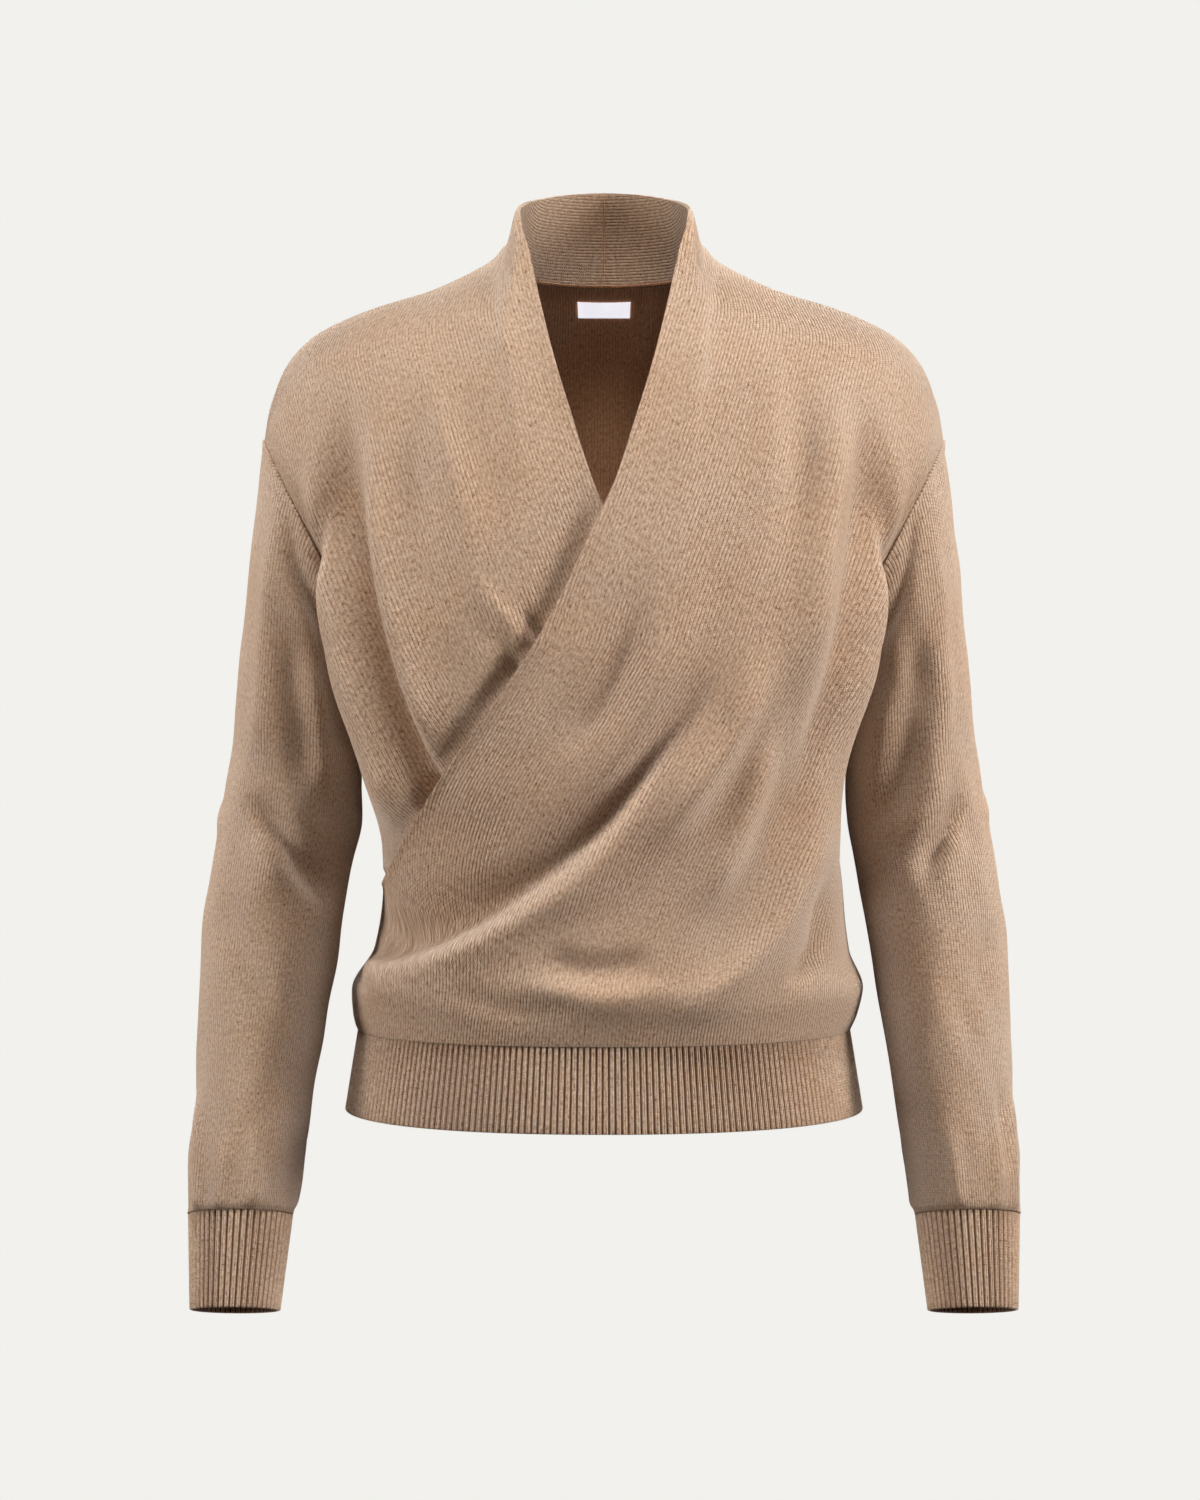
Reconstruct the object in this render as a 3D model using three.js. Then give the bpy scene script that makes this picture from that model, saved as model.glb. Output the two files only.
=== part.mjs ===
// V-neck jumper with a wrap front, filled out as when it is worn.
//
// The left front crosses over the right front. Each front is knitted in one with half of a
// stand collar, and the two halves join at the centre back. The shoulders are dropped, the
// sleeves are full and end in ribbed cuffs, and a ribbed band closes the hem.
//
// Millimetres, +Z up, -Y to the front, +X to the wearer's left. The origin is at the middle of
// the neck base, level with the points where the collar leaves the shoulders.

import * as THREE from "three";

// ---------------------------------------------------------------- driving sizes

const WALL = 2;
const SEAM_GAP = 0.3;
const HALF_GAP = SEAM_GAP / 2;

const NECK_HALF_WIDTH = 61;
const NECK_BACK_DEPTH = 65;
const NECK_POINT_HEIGHT = 11;
const NECK_BACK_HEIGHT = -5;
const COLLAR_TOP = { halfWidth: 52.5, sideY: 6, backY: 57, sideHeight: 34, backHeight: 53 };
const COLLAR_BOW = 2.5;
const COLLAR_STRIP = { atNeck: 9, below: 30 };

// The armhole is a flat oval: the shoulder tip is its top and the underarm is its bottom.
const ARMHOLE = { top: [210, -110], bottom: [144, -238], halfDepth: 52 };

const BACK_SQUARENESS = 2.3;

// The outer folds stand at the first reach, and behind them the panels turn in to the seams.
const FOLD_REACH = 0.7;
const TURNED_IN_REACH = 0.9;

// The cloth turns out over the underarm, so that its wall meets the sleeve's.
const UNDERARM_FLARE = 6;
const FLARE_RUN = 0.022;

// The armhole's walls meet at a slant at the shoulder tip and the underarm, so they are deeper
// there by this share.
const ARMHOLE_MITRE = 0.45;

// How far the right front lies under the left one, and the clear space where it is hidden.
const LAYER_STEP = 4;
const HIDDEN_CLEARANCE = 9;
const LAYER_RUN_IN = 30;
const LAYER_LEAD = 7;
const HIDDEN_RUN_IN = 50;

// Heights between which the right front slips under, and between which it gets its clear space.
const LAYER_HEIGHTS = { none: -100, full: -135 };
const HIDDEN_HEIGHTS = { none: -150, full: -200 };
const HIDDEN_RISE = 0.12;
const HIDDEN_SIDE_REACH = 0.75;

// How a fold fades at its two ends, as a share of its length, and what is left of it there.
const FOLD_END_RUN = 0.3;
const FOLD_END_SHARE = 0.15;

// Where the folds of the body and the creases of the sleeves fade towards the seams.
const FOLD_LEVELS = { hem: 0.05, waist: [0.12, 0.24], shoulder: 0.9 };
const FOLD_SIDES = { belowWaist: [1, 0.93], aboveWaist: [0.9, 0.78] };
const CREASE_PARTS = { armhole: 0.25, cuff: 0.92 };

const RIB_PITCH = 3.7;
const RIB_HEIGHT = 0.9;
const RIB_WALL = 1.9;

const LABEL = { width: 36, height: 11, below: 9, wall: 1, clearance: 1.3 };

// Turns rows of values into rows with named columns.
const table = (columns, rows) =>
  rows.map((row) => Object.fromEntries(row.map((value, i) => [columns[i], value])));

// One row for each level of the body, from the hem seam up to the shoulder line.
// middle: height at the centre. side: half width at the side seam. width, backWidth: half widths
// of the front, with its outer folds, and of the back. front, back: depths. square: how boxy the
// front is, from 2 for an ellipse. shift: how far the section leans to the wearer's left.
const UNDERARM_UP = 0.47;
const BODY = table(
  ["up", "middle", "side", "width", "backWidth", "front", "back", "square", "shift"],
  [
    [0.0, -473, 152, 152, 152, 114, 92, 2.2, 0],
    [0.02, -464, 158, 158, 158, 119, 96, 2.2, 1],
    [0.05, -449, 158, 158, 158, 123, 100, 2.25, 2.5],
    [0.1, -424, 146, 146, 146, 121, 99, 2.35, 5],
    [0.16, -394, 142, 143, 143, 119, 97, 2.4, 6],
    [0.24, -355, 140, 147, 142, 119, 96, 2.5, 3],
    [0.32, -315, 138, 155, 143, 121, 97, 2.6, 0],
    [0.4, -275, 136.5, 167, 144, 122, 98, 2.6, 0],
    [0.44, -255, 138, 172, 145, 122, 99, 2.6, 0],
    [0.46, -244, 140.5, 174, 147, 122, 99, 2.6, 0],
    [0.47, -238, 144, 175, 151, 122, 99, 2.6, 0],
    [0.585, -182, 144, 181, 167, 118, 99, 2.6, 0],
    [0.71, -122, 144, 187, 184, 106, 96, 2.6, 0],
    [0.83, -62, 144, 208, 208, 84, 84, 2.6, 0],
    [0.93, -14, 144, 216, 216, 53, 55, 2.6, 0],
    [0.965, 3, 144, 215, 215, 40, 42, 2.6, 0],
    [0.985, 12.7, 144, 213, 213, 27, 28, 2.6, 0],
    [1.0, 20, 144, 210, 210, 0, 0, 2.6, 0],
  ],
);

// A quarter of the body's girth, and its height from the hem seam to the neck.
const QUARTER_GIRTH = 215;
const BODY_HEIGHT = BODY[BODY.length - 1].middle - BODY[0].middle;

// What the back gains round the neck: extra depth, its half width, and how far it dips.
const NAPE = [
  { up: 0.0, depth: 0, halfWidth: 120, drop: 0 },
  { up: 0.71, depth: 3, halfWidth: 110, drop: 3 },
  { up: 0.83, depth: 10, halfWidth: 95, drop: 10 },
  { up: 0.93, depth: 30, halfWidth: 78, drop: 18 },
  { up: 0.965, depth: 36, halfWidth: 71, drop: 21 },
  { up: 0.985, depth: 45, halfWidth: 66, drop: 23.5 },
  { up: 1.0, depth: 65, halfWidth: 61, drop: 25 },
];

// The shoulder line from the neck out to the armhole's top.
const SHOULDER_LINE = [
  { x: 0, height: 20 },
  { x: 40, height: 16 },
  { x: 61, height: 11 },
  { x: 68, height: 3 },
  { x: 81, height: -5 },
  { x: 107, height: -17 },
  { x: 145, height: -29 },
  { x: 173, height: -42 },
  { x: 187, height: -54 },
  { x: 195, height: -66 },
  { x: 201, height: -79 },
  { x: 207, height: -93 },
  { x: 210, height: -110 },
];

// The left front's edge: down the V, over the right front and round to the right side seam.
const FRONT_EDGE = [
  { height: -410, x: -175 },
  { height: -398, x: -152 },
  { height: -385, x: -136 },
  { height: -359, x: -121 },
  { height: -315, x: -94 },
  { height: -236, x: -39 },
  { height: -156, x: 0.5 },
  { height: -144, x: 6 },
  { height: -105, x: 18.5 },
  { height: -70, x: 29 },
  { height: -24, x: 40 },
  { height: 0, x: 45 },
  { height: 18, x: 50 },
  { height: 34, x: 52.5 },
];

// Folds of the fronts, as soft ridges (height above 0) and troughs (below 0) along a bend from
// one point over another to a third. Each point is [x, z]; spread is the half width.
const FRONT_FOLDS = table(
  ["name", "from", "over", "to", "spread", "height"],
  [
    ["main trough", [70, -205], [48, -335], [-90, -407], 13, -10],
    ["main ridge", [100, -246], [52, -368], [-140, -442], 13, 9],
    ["centre trough", [24, -200], [8, -262], [-22, -318], 15, -5],
    ["short ridge", [66, -300], [48, -335], [22, -366], 9, 4],
    ["left trough", [98, -262], [96, -360], [56, -410], 14, -8],
    ["left long ridge", [112, -100], [150, -320], [62, -448], 15, 7],
    ["hem trough", [-35, -414], [15, -424], [62, -412], 11, -5],
    ["left armhole fold", [172, -112], [166, -225], [134, -335], 12, 7],
    ["left armhole trough", [146, -110], [146, -220], [118, -330], 11, -6],
    ["right armhole fold", [-172, -118], [-160, -235], [-118, -345], 12, 8],
    ["right armhole trough", [-150, -95], [-142, -210], [-94, -325], 10, -9],
    ["right inner ridge", [-138, -110], [-130, -210], [-92, -305], 9, 6],
    ["right soft trough", [-104, -180], [-96, -240], [-78, -296], 14, -5],
    ["right long ridge", [-106, -70], [-84, -165], [-48, -236], 12, 6],
  ],
);
const BACK_FOLDS = table(
  ["name", "from", "over", "to", "spread", "height"],
  [
    ["left armhole fold", [168, -120], [160, -230], [128, -345], 13, 7],
    ["left armhole trough", [144, -110], [138, -220], [100, -340], 12, -7],
    ["left drape", [112, -150], [104, -300], [30, -430], 16, 6],
    ["left hollow", [84, -230], [70, -340], [0, -412], 15, -6],
    ["right armhole fold", [-168, -116], [-158, -236], [-126, -350], 13, 7],
    ["right armhole trough", [-146, -104], [-136, -226], [-104, -330], 12, -8],
    ["right drape", [-108, -170], [-110, -310], [-40, -440], 15, 7],
    ["waist hollow", [-70, -330], [0, -400], [90, -418], 15, -6],
  ],
);

// Sleeve sections, from the armhole down to the cuff seam. outX, outZ and inX, inZ are the
// sides away from the body and next to it; y is the middle; depth is half of front to back.
const SLEEVE = table(
  ["outX", "outZ", "inX", "inZ", "y", "depth"],
  [
    [210, -110, 144, -238, 0, 52],
    [212, -122, 148.5, -239, 0.5, 52.5],
    [214.5, -142, 151.5, -244, 1.5, 53],
    [218, -172, 153, -254, 3, 53],
    [222.5, -212, 153, -270, 6, 51],
    [227, -254, 152, -290, 9, 50],
    [232, -300, 151, -318, 12, 49],
    [238.5, -342, 152, -346, 12.5, 48],
    [245.5, -384, 158, -380, 7, 46],
    [249.5, -438, 165, -430, -7, 42],
    [249, -500, 174, -490, -26, 39],
    [251, -555, 182, -546, -45, 35],
    [250.5, -573, 184.5, -566, -52, 33],
    [250, -582, 187, -578, -56, 28],
  ],
);
const CUFF = { length: 57, halfWidth: 27, halfDepth: 27, tilt: 15.6, leanX: 1.5 };

// Creases of the sleeves. Each point is [angle, z]: the angle in degrees from the outer side
// round the front, so 90 is the front and 180 is next to the body.
const SLEEVE_CREASES = table(
  ["name", "from", "over", "to", "spread", "height"],
  [
    ["elbow ridge", [60, -318], [95, -342], [150, -352], 11, 4],
    ["elbow trough", [70, -346], [110, -368], [165, -378], 11, -5],
    ["upper trough", [95, -262], [120, -290], [165, -312], 12, -4],
    ["forearm ridge", [40, -380], [75, -430], [110, -470], 13, 3],
    ["back ridge", [300, -300], [260, -345], [215, -365], 12, 4],
    ["back trough", [310, -335], [265, -375], [210, -395], 12, -4],
  ],
);
const SLEEVE_MEAN_RADIUS = 46;

const HEM_BAND = [
  { down: 473, width: 152, front: 114, back: 92 },
  { down: 498, width: 156, front: 119, back: 95 },
  { down: 523, width: 160, front: 123, back: 98 },
];
const HEM_SQUARENESS = 2.2;

// Level above which the front's strip narrows to the collar, and above which it stands up.
const STRIP_LEVEL = 0.75;
const STAND_LEVEL = 0.9;
const MOST_STRIP_REACH = 0.9;

// Level above which the back's columns move over to the neck's steps.
const BACK_STEPS_LEVEL = 0.3;

// The nape's curve across the back is round below and close to a half circle at the neck seam.
const NAPE_CURVE = { level: 0.93, below: 1.4, atNeck: 0.5 };

// Parts of the sleeve between which its sections tilt over to the cuff's.
const TILT_PARTS = [0.55, 0.95];

// Levels at which the body's wall is worked out. They are closest at the hem seam, the
// underarm and the shoulder.
const LEVELS = [
  0, 0.018, 0.045, 0.08, 0.12, 0.16, 0.2, 0.245, 0.29, 0.34, 0.39, 0.44, 0.46, 0.47, 0.485,
  0.515, 0.55, 0.59, 0.64, 0.69, 0.74, 0.79, 0.83, 0.87, 0.905, 0.935, 0.96, 0.98, 1,
];
const FRONT_COLUMNS = 25;
const NECK_COLUMN = 20;
const COLLAR_STEPS = 6;
const SHOULDER_COLUMNS = 8;
const SLEEVE_COLUMNS = 22;
const SLEEVE_RINGS = 20;
const LINING_COLUMNS = 56;

// Where the rings of a ribbed band lie, from its seam to its free edge.
const BAND_FALLS = [0, 0.5, 1];

// ---------------------------------------------------------------- numbers and curves

const clamp = (value, low, high) => Math.min(high, Math.max(low, value));
const mix = (a, b, t) => a + (b - a) * t;
const radians = (degrees) => (degrees * Math.PI) / 180;

function smooth(start, end, value) {
  const t = clamp((value - start) / (end - start), 0, 1);
  return t * t * (3 - 2 * t);
}

// Reads one column of a table at a value of its key column, on a smooth curve that does not
// overshoot its rows.
function read(table, key, column, at) {
  const last = table.length - 1;
  if (at <= table[0][key]) return table[0][column];
  if (at >= table[last][key]) return table[last][column];
  const i = table.findIndex((row, k) => k < last && at <= table[k + 1][key]);
  const slope = (k) => (table[k + 1][column] - table[k][column]) / (table[k + 1][key] - table[k][key]);
  const tangent = (k) => {
    if (k === 0) return slope(0);
    if (k === last) return slope(last - 1);
    const before = slope(k - 1);
    const after = slope(k);
    return before * after <= 0 ? 0 : (2 * before * after) / (before + after);
  };
  const run = table[i + 1][key] - table[i][key];
  const t = (at - table[i][key]) / run;
  const t2 = t * t;
  const t3 = t2 * t;
  return (
    (2 * t3 - 3 * t2 + 1) * table[i][column] +
    (t3 - 2 * t2 + t) * run * tangent(i) +
    (3 * t2 - 2 * t3) * table[i + 1][column] +
    (t3 - t2) * run * tangent(i + 1)
  );
}

// A point of a fold's bend, part of the way along it.
const bendPoint = (fold, t) =>
  [0, 1].map((c) => (1 - t) ** 2 * fold.from[c] + 2 * t * (1 - t) * fold.over[c] + t ** 2 * fold.to[c]);

// The distance from a place to a fold's bend, and how far along the bend that is.
function nearestOnBend(fold, a, b) {
  const STEPS = 12;
  const best = { distance: Infinity, along: 0 };
  let [startA, startB] = fold.from;
  for (let k = 1; k <= STEPS; k++) {
    const [endA, endB] = bendPoint(fold, k / STEPS);
    const [runA, runB] = [endA - startA, endB - startB];
    const part = clamp(((a - startA) * runA + (b - startB) * runB) / (runA ** 2 + runB ** 2), 0, 1);
    const distance = Math.hypot(a - startA - part * runA, b - startB - part * runB);
    if (distance < best.distance) {
      best.distance = distance;
      best.along = (k - 1 + part) / STEPS;
    }
    [startA, startB] = [endA, endB];
  }
  return best;
}

// The height that a set of folds adds at a place given by two distances across the cloth.
function foldHeight(folds, a, b) {
  let total = 0;
  for (const fold of folds) {
    const { distance, along } = nearestOnBend(fold, a, b);
    const ends = smooth(0, FOLD_END_RUN, along) * smooth(0, FOLD_END_RUN, 1 - along);
    const height = fold.height * mix(FOLD_END_SHARE, 1, ends);
    total += height * Math.exp(-((distance / fold.spread) ** 2));
  }
  return total;
}

// ---------------------------------------------------------------- the body's form

// A point of the armhole: 0 at the shoulder tip, pi at the underarm. face is -1 in front.
function armholePoint(angle, face) {
  const middleX = (ARMHOLE.top[0] + ARMHOLE.bottom[0]) / 2;
  const middleZ = (ARMHOLE.top[1] + ARMHOLE.bottom[1]) / 2;
  const halfX = (ARMHOLE.top[0] - ARMHOLE.bottom[0]) / 2;
  const halfZ = (ARMHOLE.top[1] - ARMHOLE.bottom[1]) / 2;
  return new THREE.Vector3(
    middleX + halfX * Math.cos(angle),
    face * ARMHOLE.halfDepth * Math.sin(angle),
    middleZ + halfZ * Math.cos(angle),
  );
}

// Where the wearer's left side of a body panel ends at a level: on the side seam up to the
// underarm, and on the armhole above it.
function sideEnd(up, face) {
  if (up <= UNDERARM_UP) {
    return new THREE.Vector3(read(BODY, "up", "side", up), 0, read(BODY, "up", "middle", up));
  }
  const angle = Math.PI * (1 - (up - UNDERARM_UP) / (1 - UNDERARM_UP));
  return armholePoint(angle, face);
}

function shoulderDrop(reach) {
  const last = SHOULDER_LINE[SHOULDER_LINE.length - 1];
  const height = read(SHOULDER_LINE, "x", "height", reach * last.x);
  return (SHOULDER_LINE[0].height - height) / (SHOULDER_LINE[0].height - last.height);
}

const squarenessAt = (up, face) => (face < 0 ? read(BODY, "up", "square", up) : BACK_SQUARENESS);

// Reach is an even turn round the body; its share is how far out that is across the width.
const shareOf = (reach, squareness) => Math.sin(radians(90 * reach)) ** (2 / squareness);
const reachOf = (share, squareness) => Math.asin(clamp(share, 0, 1) ** (squareness / 2)) / radians(90);

// A point of the body before its folds. reach runs from 0 at the centre to 1 at the side end,
// and is below 0 on the wearer's right. face is -1 for the front and 1 for the back.
function bodyForm(reach, up, face) {
  const squareness = squarenessAt(up, face);
  const width = read(BODY, "up", face < 0 ? "width" : "backWidth", up);
  const middle = read(BODY, "up", "middle", up);
  const depth = read(BODY, "up", face < 0 ? "front" : "back", up);
  const shift = read(BODY, "up", "shift", up);
  const end = sideEnd(up, face);
  const endDepth = depth > 0 ? clamp(Math.abs(end.y) / depth, 0, 0.92) : 0;
  const endReach = (1 - endDepth ** squareness) ** (1 / squareness);
  const along = Math.abs(reach);
  const share = shareOf(along, squareness);
  const across = share * endReach;
  let x = width * across;
  let y = depth * Math.max(0, 1 - across ** squareness) ** (1 / squareness);
  let z = middle - (middle - end.z) * shoulderDrop(share);
  if (face > 0) {
    const napeWidth = read(NAPE, "up", "halfWidth", up);
    const inside = Math.max(0, 1 - (x / napeWidth) ** 2);
    const curve = mix(NAPE_CURVE.below, NAPE_CURVE.atNeck, smooth(NAPE_CURVE.level, 1, up));
    y += read(NAPE, "up", "depth", up) * inside ** curve;
    z -= read(NAPE, "up", "drop", up) * inside;
  } else {
    const stand = smooth(STAND_LEVEL, 1, up) * smooth(NECK_HALF_WIDTH, COLLAR_TOP.halfWidth, x);
    z += stand * (COLLAR_TOP.sideHeight - read(SHOULDER_LINE, "x", "height", COLLAR_TOP.halfWidth));
    y -= stand * COLLAR_TOP.sideY;
  }
  const pull = smooth(FOLD_REACH, TURNED_IN_REACH, along);
  const flare = UNDERARM_FLARE * Math.exp(-(((up - UNDERARM_UP) / FLARE_RUN) ** 2));
  x += (end.x - flare - width * endReach) * pull + flare * smooth(TURNED_IN_REACH, 1, along);
  y += (Math.abs(end.y) - depth * endDepth) * pull;
  return new THREE.Vector3(Math.sign(reach || 1) * x + shift, face * y, z);
}

// The outward direction of the body's form at a place.
function bodyNormal(reach, up, face) {
  const STEP = 0.004;
  const r0 = clamp(reach, -1 + STEP, 1 - STEP);
  const u0 = clamp(up, STEP, 1 - STEP);
  const acrossStep = bodyForm(r0 + STEP, u0, face).sub(bodyForm(r0 - STEP, u0, face));
  const upStep = bodyForm(r0, u0 + STEP, face).sub(bodyForm(r0, u0 - STEP, face));
  return acrossStep.cross(upStep).multiplyScalar(-face).normalize();
}

// How far the right front lies below the left front's surface. It slips under the edge, gives
// the hidden part room, and comes back to the seams that hold it.
function underLayerDepth(point, up, reach) {
  const STEP = 0.01;
  const edgeRun = (edgeReach(up + STEP) - edgeReach(up - STEP)) * QUARTER_GIRTH;
  const slope = edgeRun / (2 * STEP * BODY_HEIGHT);
  const inside = ((reach - edgeReach(up)) * QUARTER_GIRTH) / Math.hypot(1, slope);
  const crossing = smooth(LAYER_HEIGHTS.none, LAYER_HEIGHTS.full, point.z);
  const covered = smooth(-LAYER_RUN_IN, -LAYER_LEAD, inside) * crossing;
  const held = smooth(0, HIDDEN_RISE, up) * smooth(1, HIDDEN_SIDE_REACH, reach);
  const low = smooth(HIDDEN_HEIGHTS.none, HIDDEN_HEIGHTS.full, point.z);
  const free = smooth(0, HIDDEN_RUN_IN, inside) * held * low;
  return covered * (LAYER_STEP + HIDDEN_CLEARANCE * free);
}

// Folds fade towards the seams, and above the waist they keep to the outside of the outer fold.
function foldShare(reach, up) {
  const low = smooth(...FOLD_SIDES.belowWaist, Math.abs(reach));
  const high = smooth(...FOLD_SIDES.aboveWaist, Math.abs(reach));
  const sides = mix(low, high, smooth(...FOLD_LEVELS.waist, up));
  return smooth(0, FOLD_LEVELS.hem, up) * smooth(1, FOLD_LEVELS.shoulder, up) * sides;
}

function frontPoint(reach, up, isUnder) {
  const point = bodyForm(reach, up, -1);
  const calm = foldShare(reach, up);
  let out = calm * foldHeight(FRONT_FOLDS, point.x, point.z);
  if (isUnder) {
    const below = underLayerDepth(point, up, reach);
    const hidden = smooth(LAYER_STEP, LAYER_STEP + HIDDEN_CLEARANCE, below);
    out = out * (1 - hidden) - below;
  }
  return point.addScaledVector(bodyNormal(reach, up, -1), out);
}

function backPoint(reach, up) {
  const point = bodyForm(reach, up, 1);
  const calm = foldShare(reach, up);
  const out = calm * foldHeight(BACK_FOLDS, point.x, point.z);
  return point.addScaledVector(bodyNormal(reach, up, 1), out);
}

// ---------------------------------------------------------------- walls

const key = (row, column) => `${row}/${column}`;

// Turns a sheet of points into a closed wall. The sheet is a map from row and column to a
// vertex with its place and, where a seam fixes it, the direction and depth of the wall there.
class Sheet {
  constructor() {
    this.vertices = [];
    this.index = new Map();
    this.quads = [];
  }

  add(row, column, place, inward = null) {
    this.index.set(key(row, column), this.vertices.length);
    this.vertices.push({ place, inward });
  }

  at(row, column) {
    return this.vertices[this.index.get(key(row, column))];
  }

  fill(rows, columns, closed = false) {
    for (let row = rows[0]; row < rows[1]; row++) {
      for (let column = columns[0]; column < columns[1]; column++) {
        const next = closed && column + 1 === columns[1] ? columns[0] : column + 1;
        const corners = [key(row, column), key(row, next), key(row + 1, next), key(row + 1, column)];
        this.quads.push(corners.map((corner) => this.index.get(corner)));
      }
    }
  }

  normals() {
    const sums = this.vertices.map(() => new THREE.Vector3());
    for (const [a, b, c, d] of this.quads) {
      const [pa, pb, pc, pd] = [a, b, c, d].map((i) => this.vertices[i].place);
      const normal = pc.clone().sub(pa).cross(pd.clone().sub(pb));
      for (const i of [a, b, c, d]) sums[i].add(normal);
    }
    return sums.map((sum) => sum.normalize());
  }

  // outward tells whether the quads, as listed, already face outwards.
  wall(thickness, outward) {
    const sign = outward ? 1 : -1;
    const normals = this.normals();
    const outer = this.vertices.map((vertex) => vertex.place);
    const inner = this.vertices.map((vertex, i) => {
      if (vertex.inward) return vertex.place.clone().add(vertex.inward);
      return vertex.place.clone().addScaledVector(normals[i], -sign * thickness);
    });
    const count = outer.length;
    const faces = [];
    const edges = new Map();
    for (const quad of this.quads) {
      const [a, b, c, d] = outward ? quad : [...quad].reverse();
      faces.push([a, b, c], [a, c, d]);
      faces.push([a + count, c + count, b + count], [a + count, d + count, c + count]);
      for (const [from, to] of [[a, b], [b, c], [c, d], [d, a]]) {
        if (edges.has(`${to}/${from}`)) edges.delete(`${to}/${from}`);
        else edges.set(`${from}/${to}`, [from, to]);
      }
    }
    for (const [from, to] of edges.values()) {
      faces.push([to, from, from + count], [to, from + count, to + count]);
    }
    return solid([...outer, ...inner], faces);
  }
}

function solid(points, faces) {
  const geometry = new THREE.BufferGeometry();
  const positions = points.flatMap((point) => [point.x, point.y, point.z]);
  geometry.setAttribute("position", new THREE.Float32BufferAttribute(positions, 3));
  geometry.setIndex(faces.flat());
  geometry.computeVertexNormals();
  return geometry;
}

// ---------------------------------------------------------------- seams

// Direction and mitred depth of the wall where it meets the armhole's plane.
function armholeInward(angle, face, side) {
  const longX = (ARMHOLE.top[0] - ARMHOLE.bottom[0]) / 2;
  const longZ = (ARMHOLE.top[1] - ARMHOLE.bottom[1]) / 2;
  const long = Math.hypot(longX, longZ);
  const outLong = Math.cos(angle) * ARMHOLE.halfDepth;
  const outDepth = Math.sin(angle) * long;
  const size = Math.hypot(outLong, outDepth);
  const mitre = 1 + ARMHOLE_MITRE * Math.abs(Math.cos(angle));
  const depth = (-WALL * mitre) / size;
  return new THREE.Vector3(
    (side * depth * outLong * longX) / long,
    face * depth * outDepth,
    (depth * outLong * longZ) / long,
  );
}

const armholeAxis = new THREE.Vector3(
  ARMHOLE.top[1] - ARMHOLE.bottom[1],
  0,
  ARMHOLE.bottom[0] - ARMHOLE.top[0],
).normalize();

const mirrored = (vector, side) => vector.set(side * vector.x, vector.y, vector.z);

// An armhole vertex of a body panel, held half a gap back from the armhole's plane.
function armholeVertex(up, face, side) {
  const angle = Math.PI * (1 - (up - UNDERARM_UP) / (1 - UNDERARM_UP));
  const place = armholePoint(angle, face).addScaledVector(armholeAxis, -HALF_GAP);
  const atEnds = Math.sin(angle) < 1e-6;
  if (atEnds) place.y = face * HALF_GAP;
  return { place: mirrored(place, side), inward: armholeInward(angle, face, side) };
}

// A side or shoulder seam lies in the plane y = 0: its wall stays beside that plane.
function seamVertex(place, normal, face) {
  const inward = new THREE.Vector3(normal.x, 0, normal.z).normalize().multiplyScalar(-WALL);
  place.y = face * HALF_GAP;
  return { place, inward };
}

// The neck seam, from the neck point (turn 0) to the centre back (turn 90 degrees).
function neckSeamPoint(turn) {
  const back = Math.sin(turn);
  return new THREE.Vector3(
    NECK_HALF_WIDTH * Math.cos(turn),
    NECK_BACK_DEPTH * back,
    mix(NECK_POINT_HEIGHT, NECK_BACK_HEIGHT, back * back),
  );
}

function neckSeamInward(turn) {
  const out = new THREE.Vector3(
    Math.cos(turn) / NECK_HALF_WIDTH,
    Math.sin(turn) / NECK_BACK_DEPTH,
    0,
  ).normalize();
  return out.multiplyScalar(-WALL);
}

function collarTopPoint(turn) {
  return new THREE.Vector3(
    COLLAR_TOP.halfWidth * Math.cos(turn),
    mix(COLLAR_TOP.sideY, COLLAR_TOP.backY, Math.sin(turn)),
    mix(COLLAR_TOP.sideHeight, COLLAR_TOP.backHeight, Math.sin(turn)),
  );
}

// ---------------------------------------------------------------- fronts

// The reach at which a front's edge crosses a level.
function edgeReach(up) {
  let low = -1;
  let high = 1;
  const beyond = (reach) => {
    const point = bodyForm(reach, up, -1);
    return point.x - read(FRONT_EDGE, "height", "x", point.z);
  };
  if (beyond(low) >= 0) return -1;
  for (let k = 0; k < 40; k++) {
    const middle = (low + high) / 2;
    if (beyond(middle) < 0) low = middle;
    else high = middle;
  }
  return (low + high) / 2;
}

// Reach of a front's column at a level. The last columns keep to a strip along the edge, which
// becomes the collar above the neck point.
function columnReach(column, up) {
  const edge = edgeReach(up);
  const width = read(BODY, "up", "width", up);
  const strip = mix(COLLAR_STRIP.below, COLLAR_STRIP.atNeck, smooth(STRIP_LEVEL, 1, up)) / width;
  const neckReach = reachOf(NECK_HALF_WIDTH / width, squarenessAt(up, -1));
  const atNeckLine = up === 1 ? neckReach : Math.min(edge + strip, MOST_STRIP_REACH);
  if (column <= NECK_COLUMN) return mix(1, atNeckLine, column / NECK_COLUMN);
  return mix(atNeckLine, edge, (column - NECK_COLUMN) / (FRONT_COLUMNS - NECK_COLUMN));
}

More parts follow.
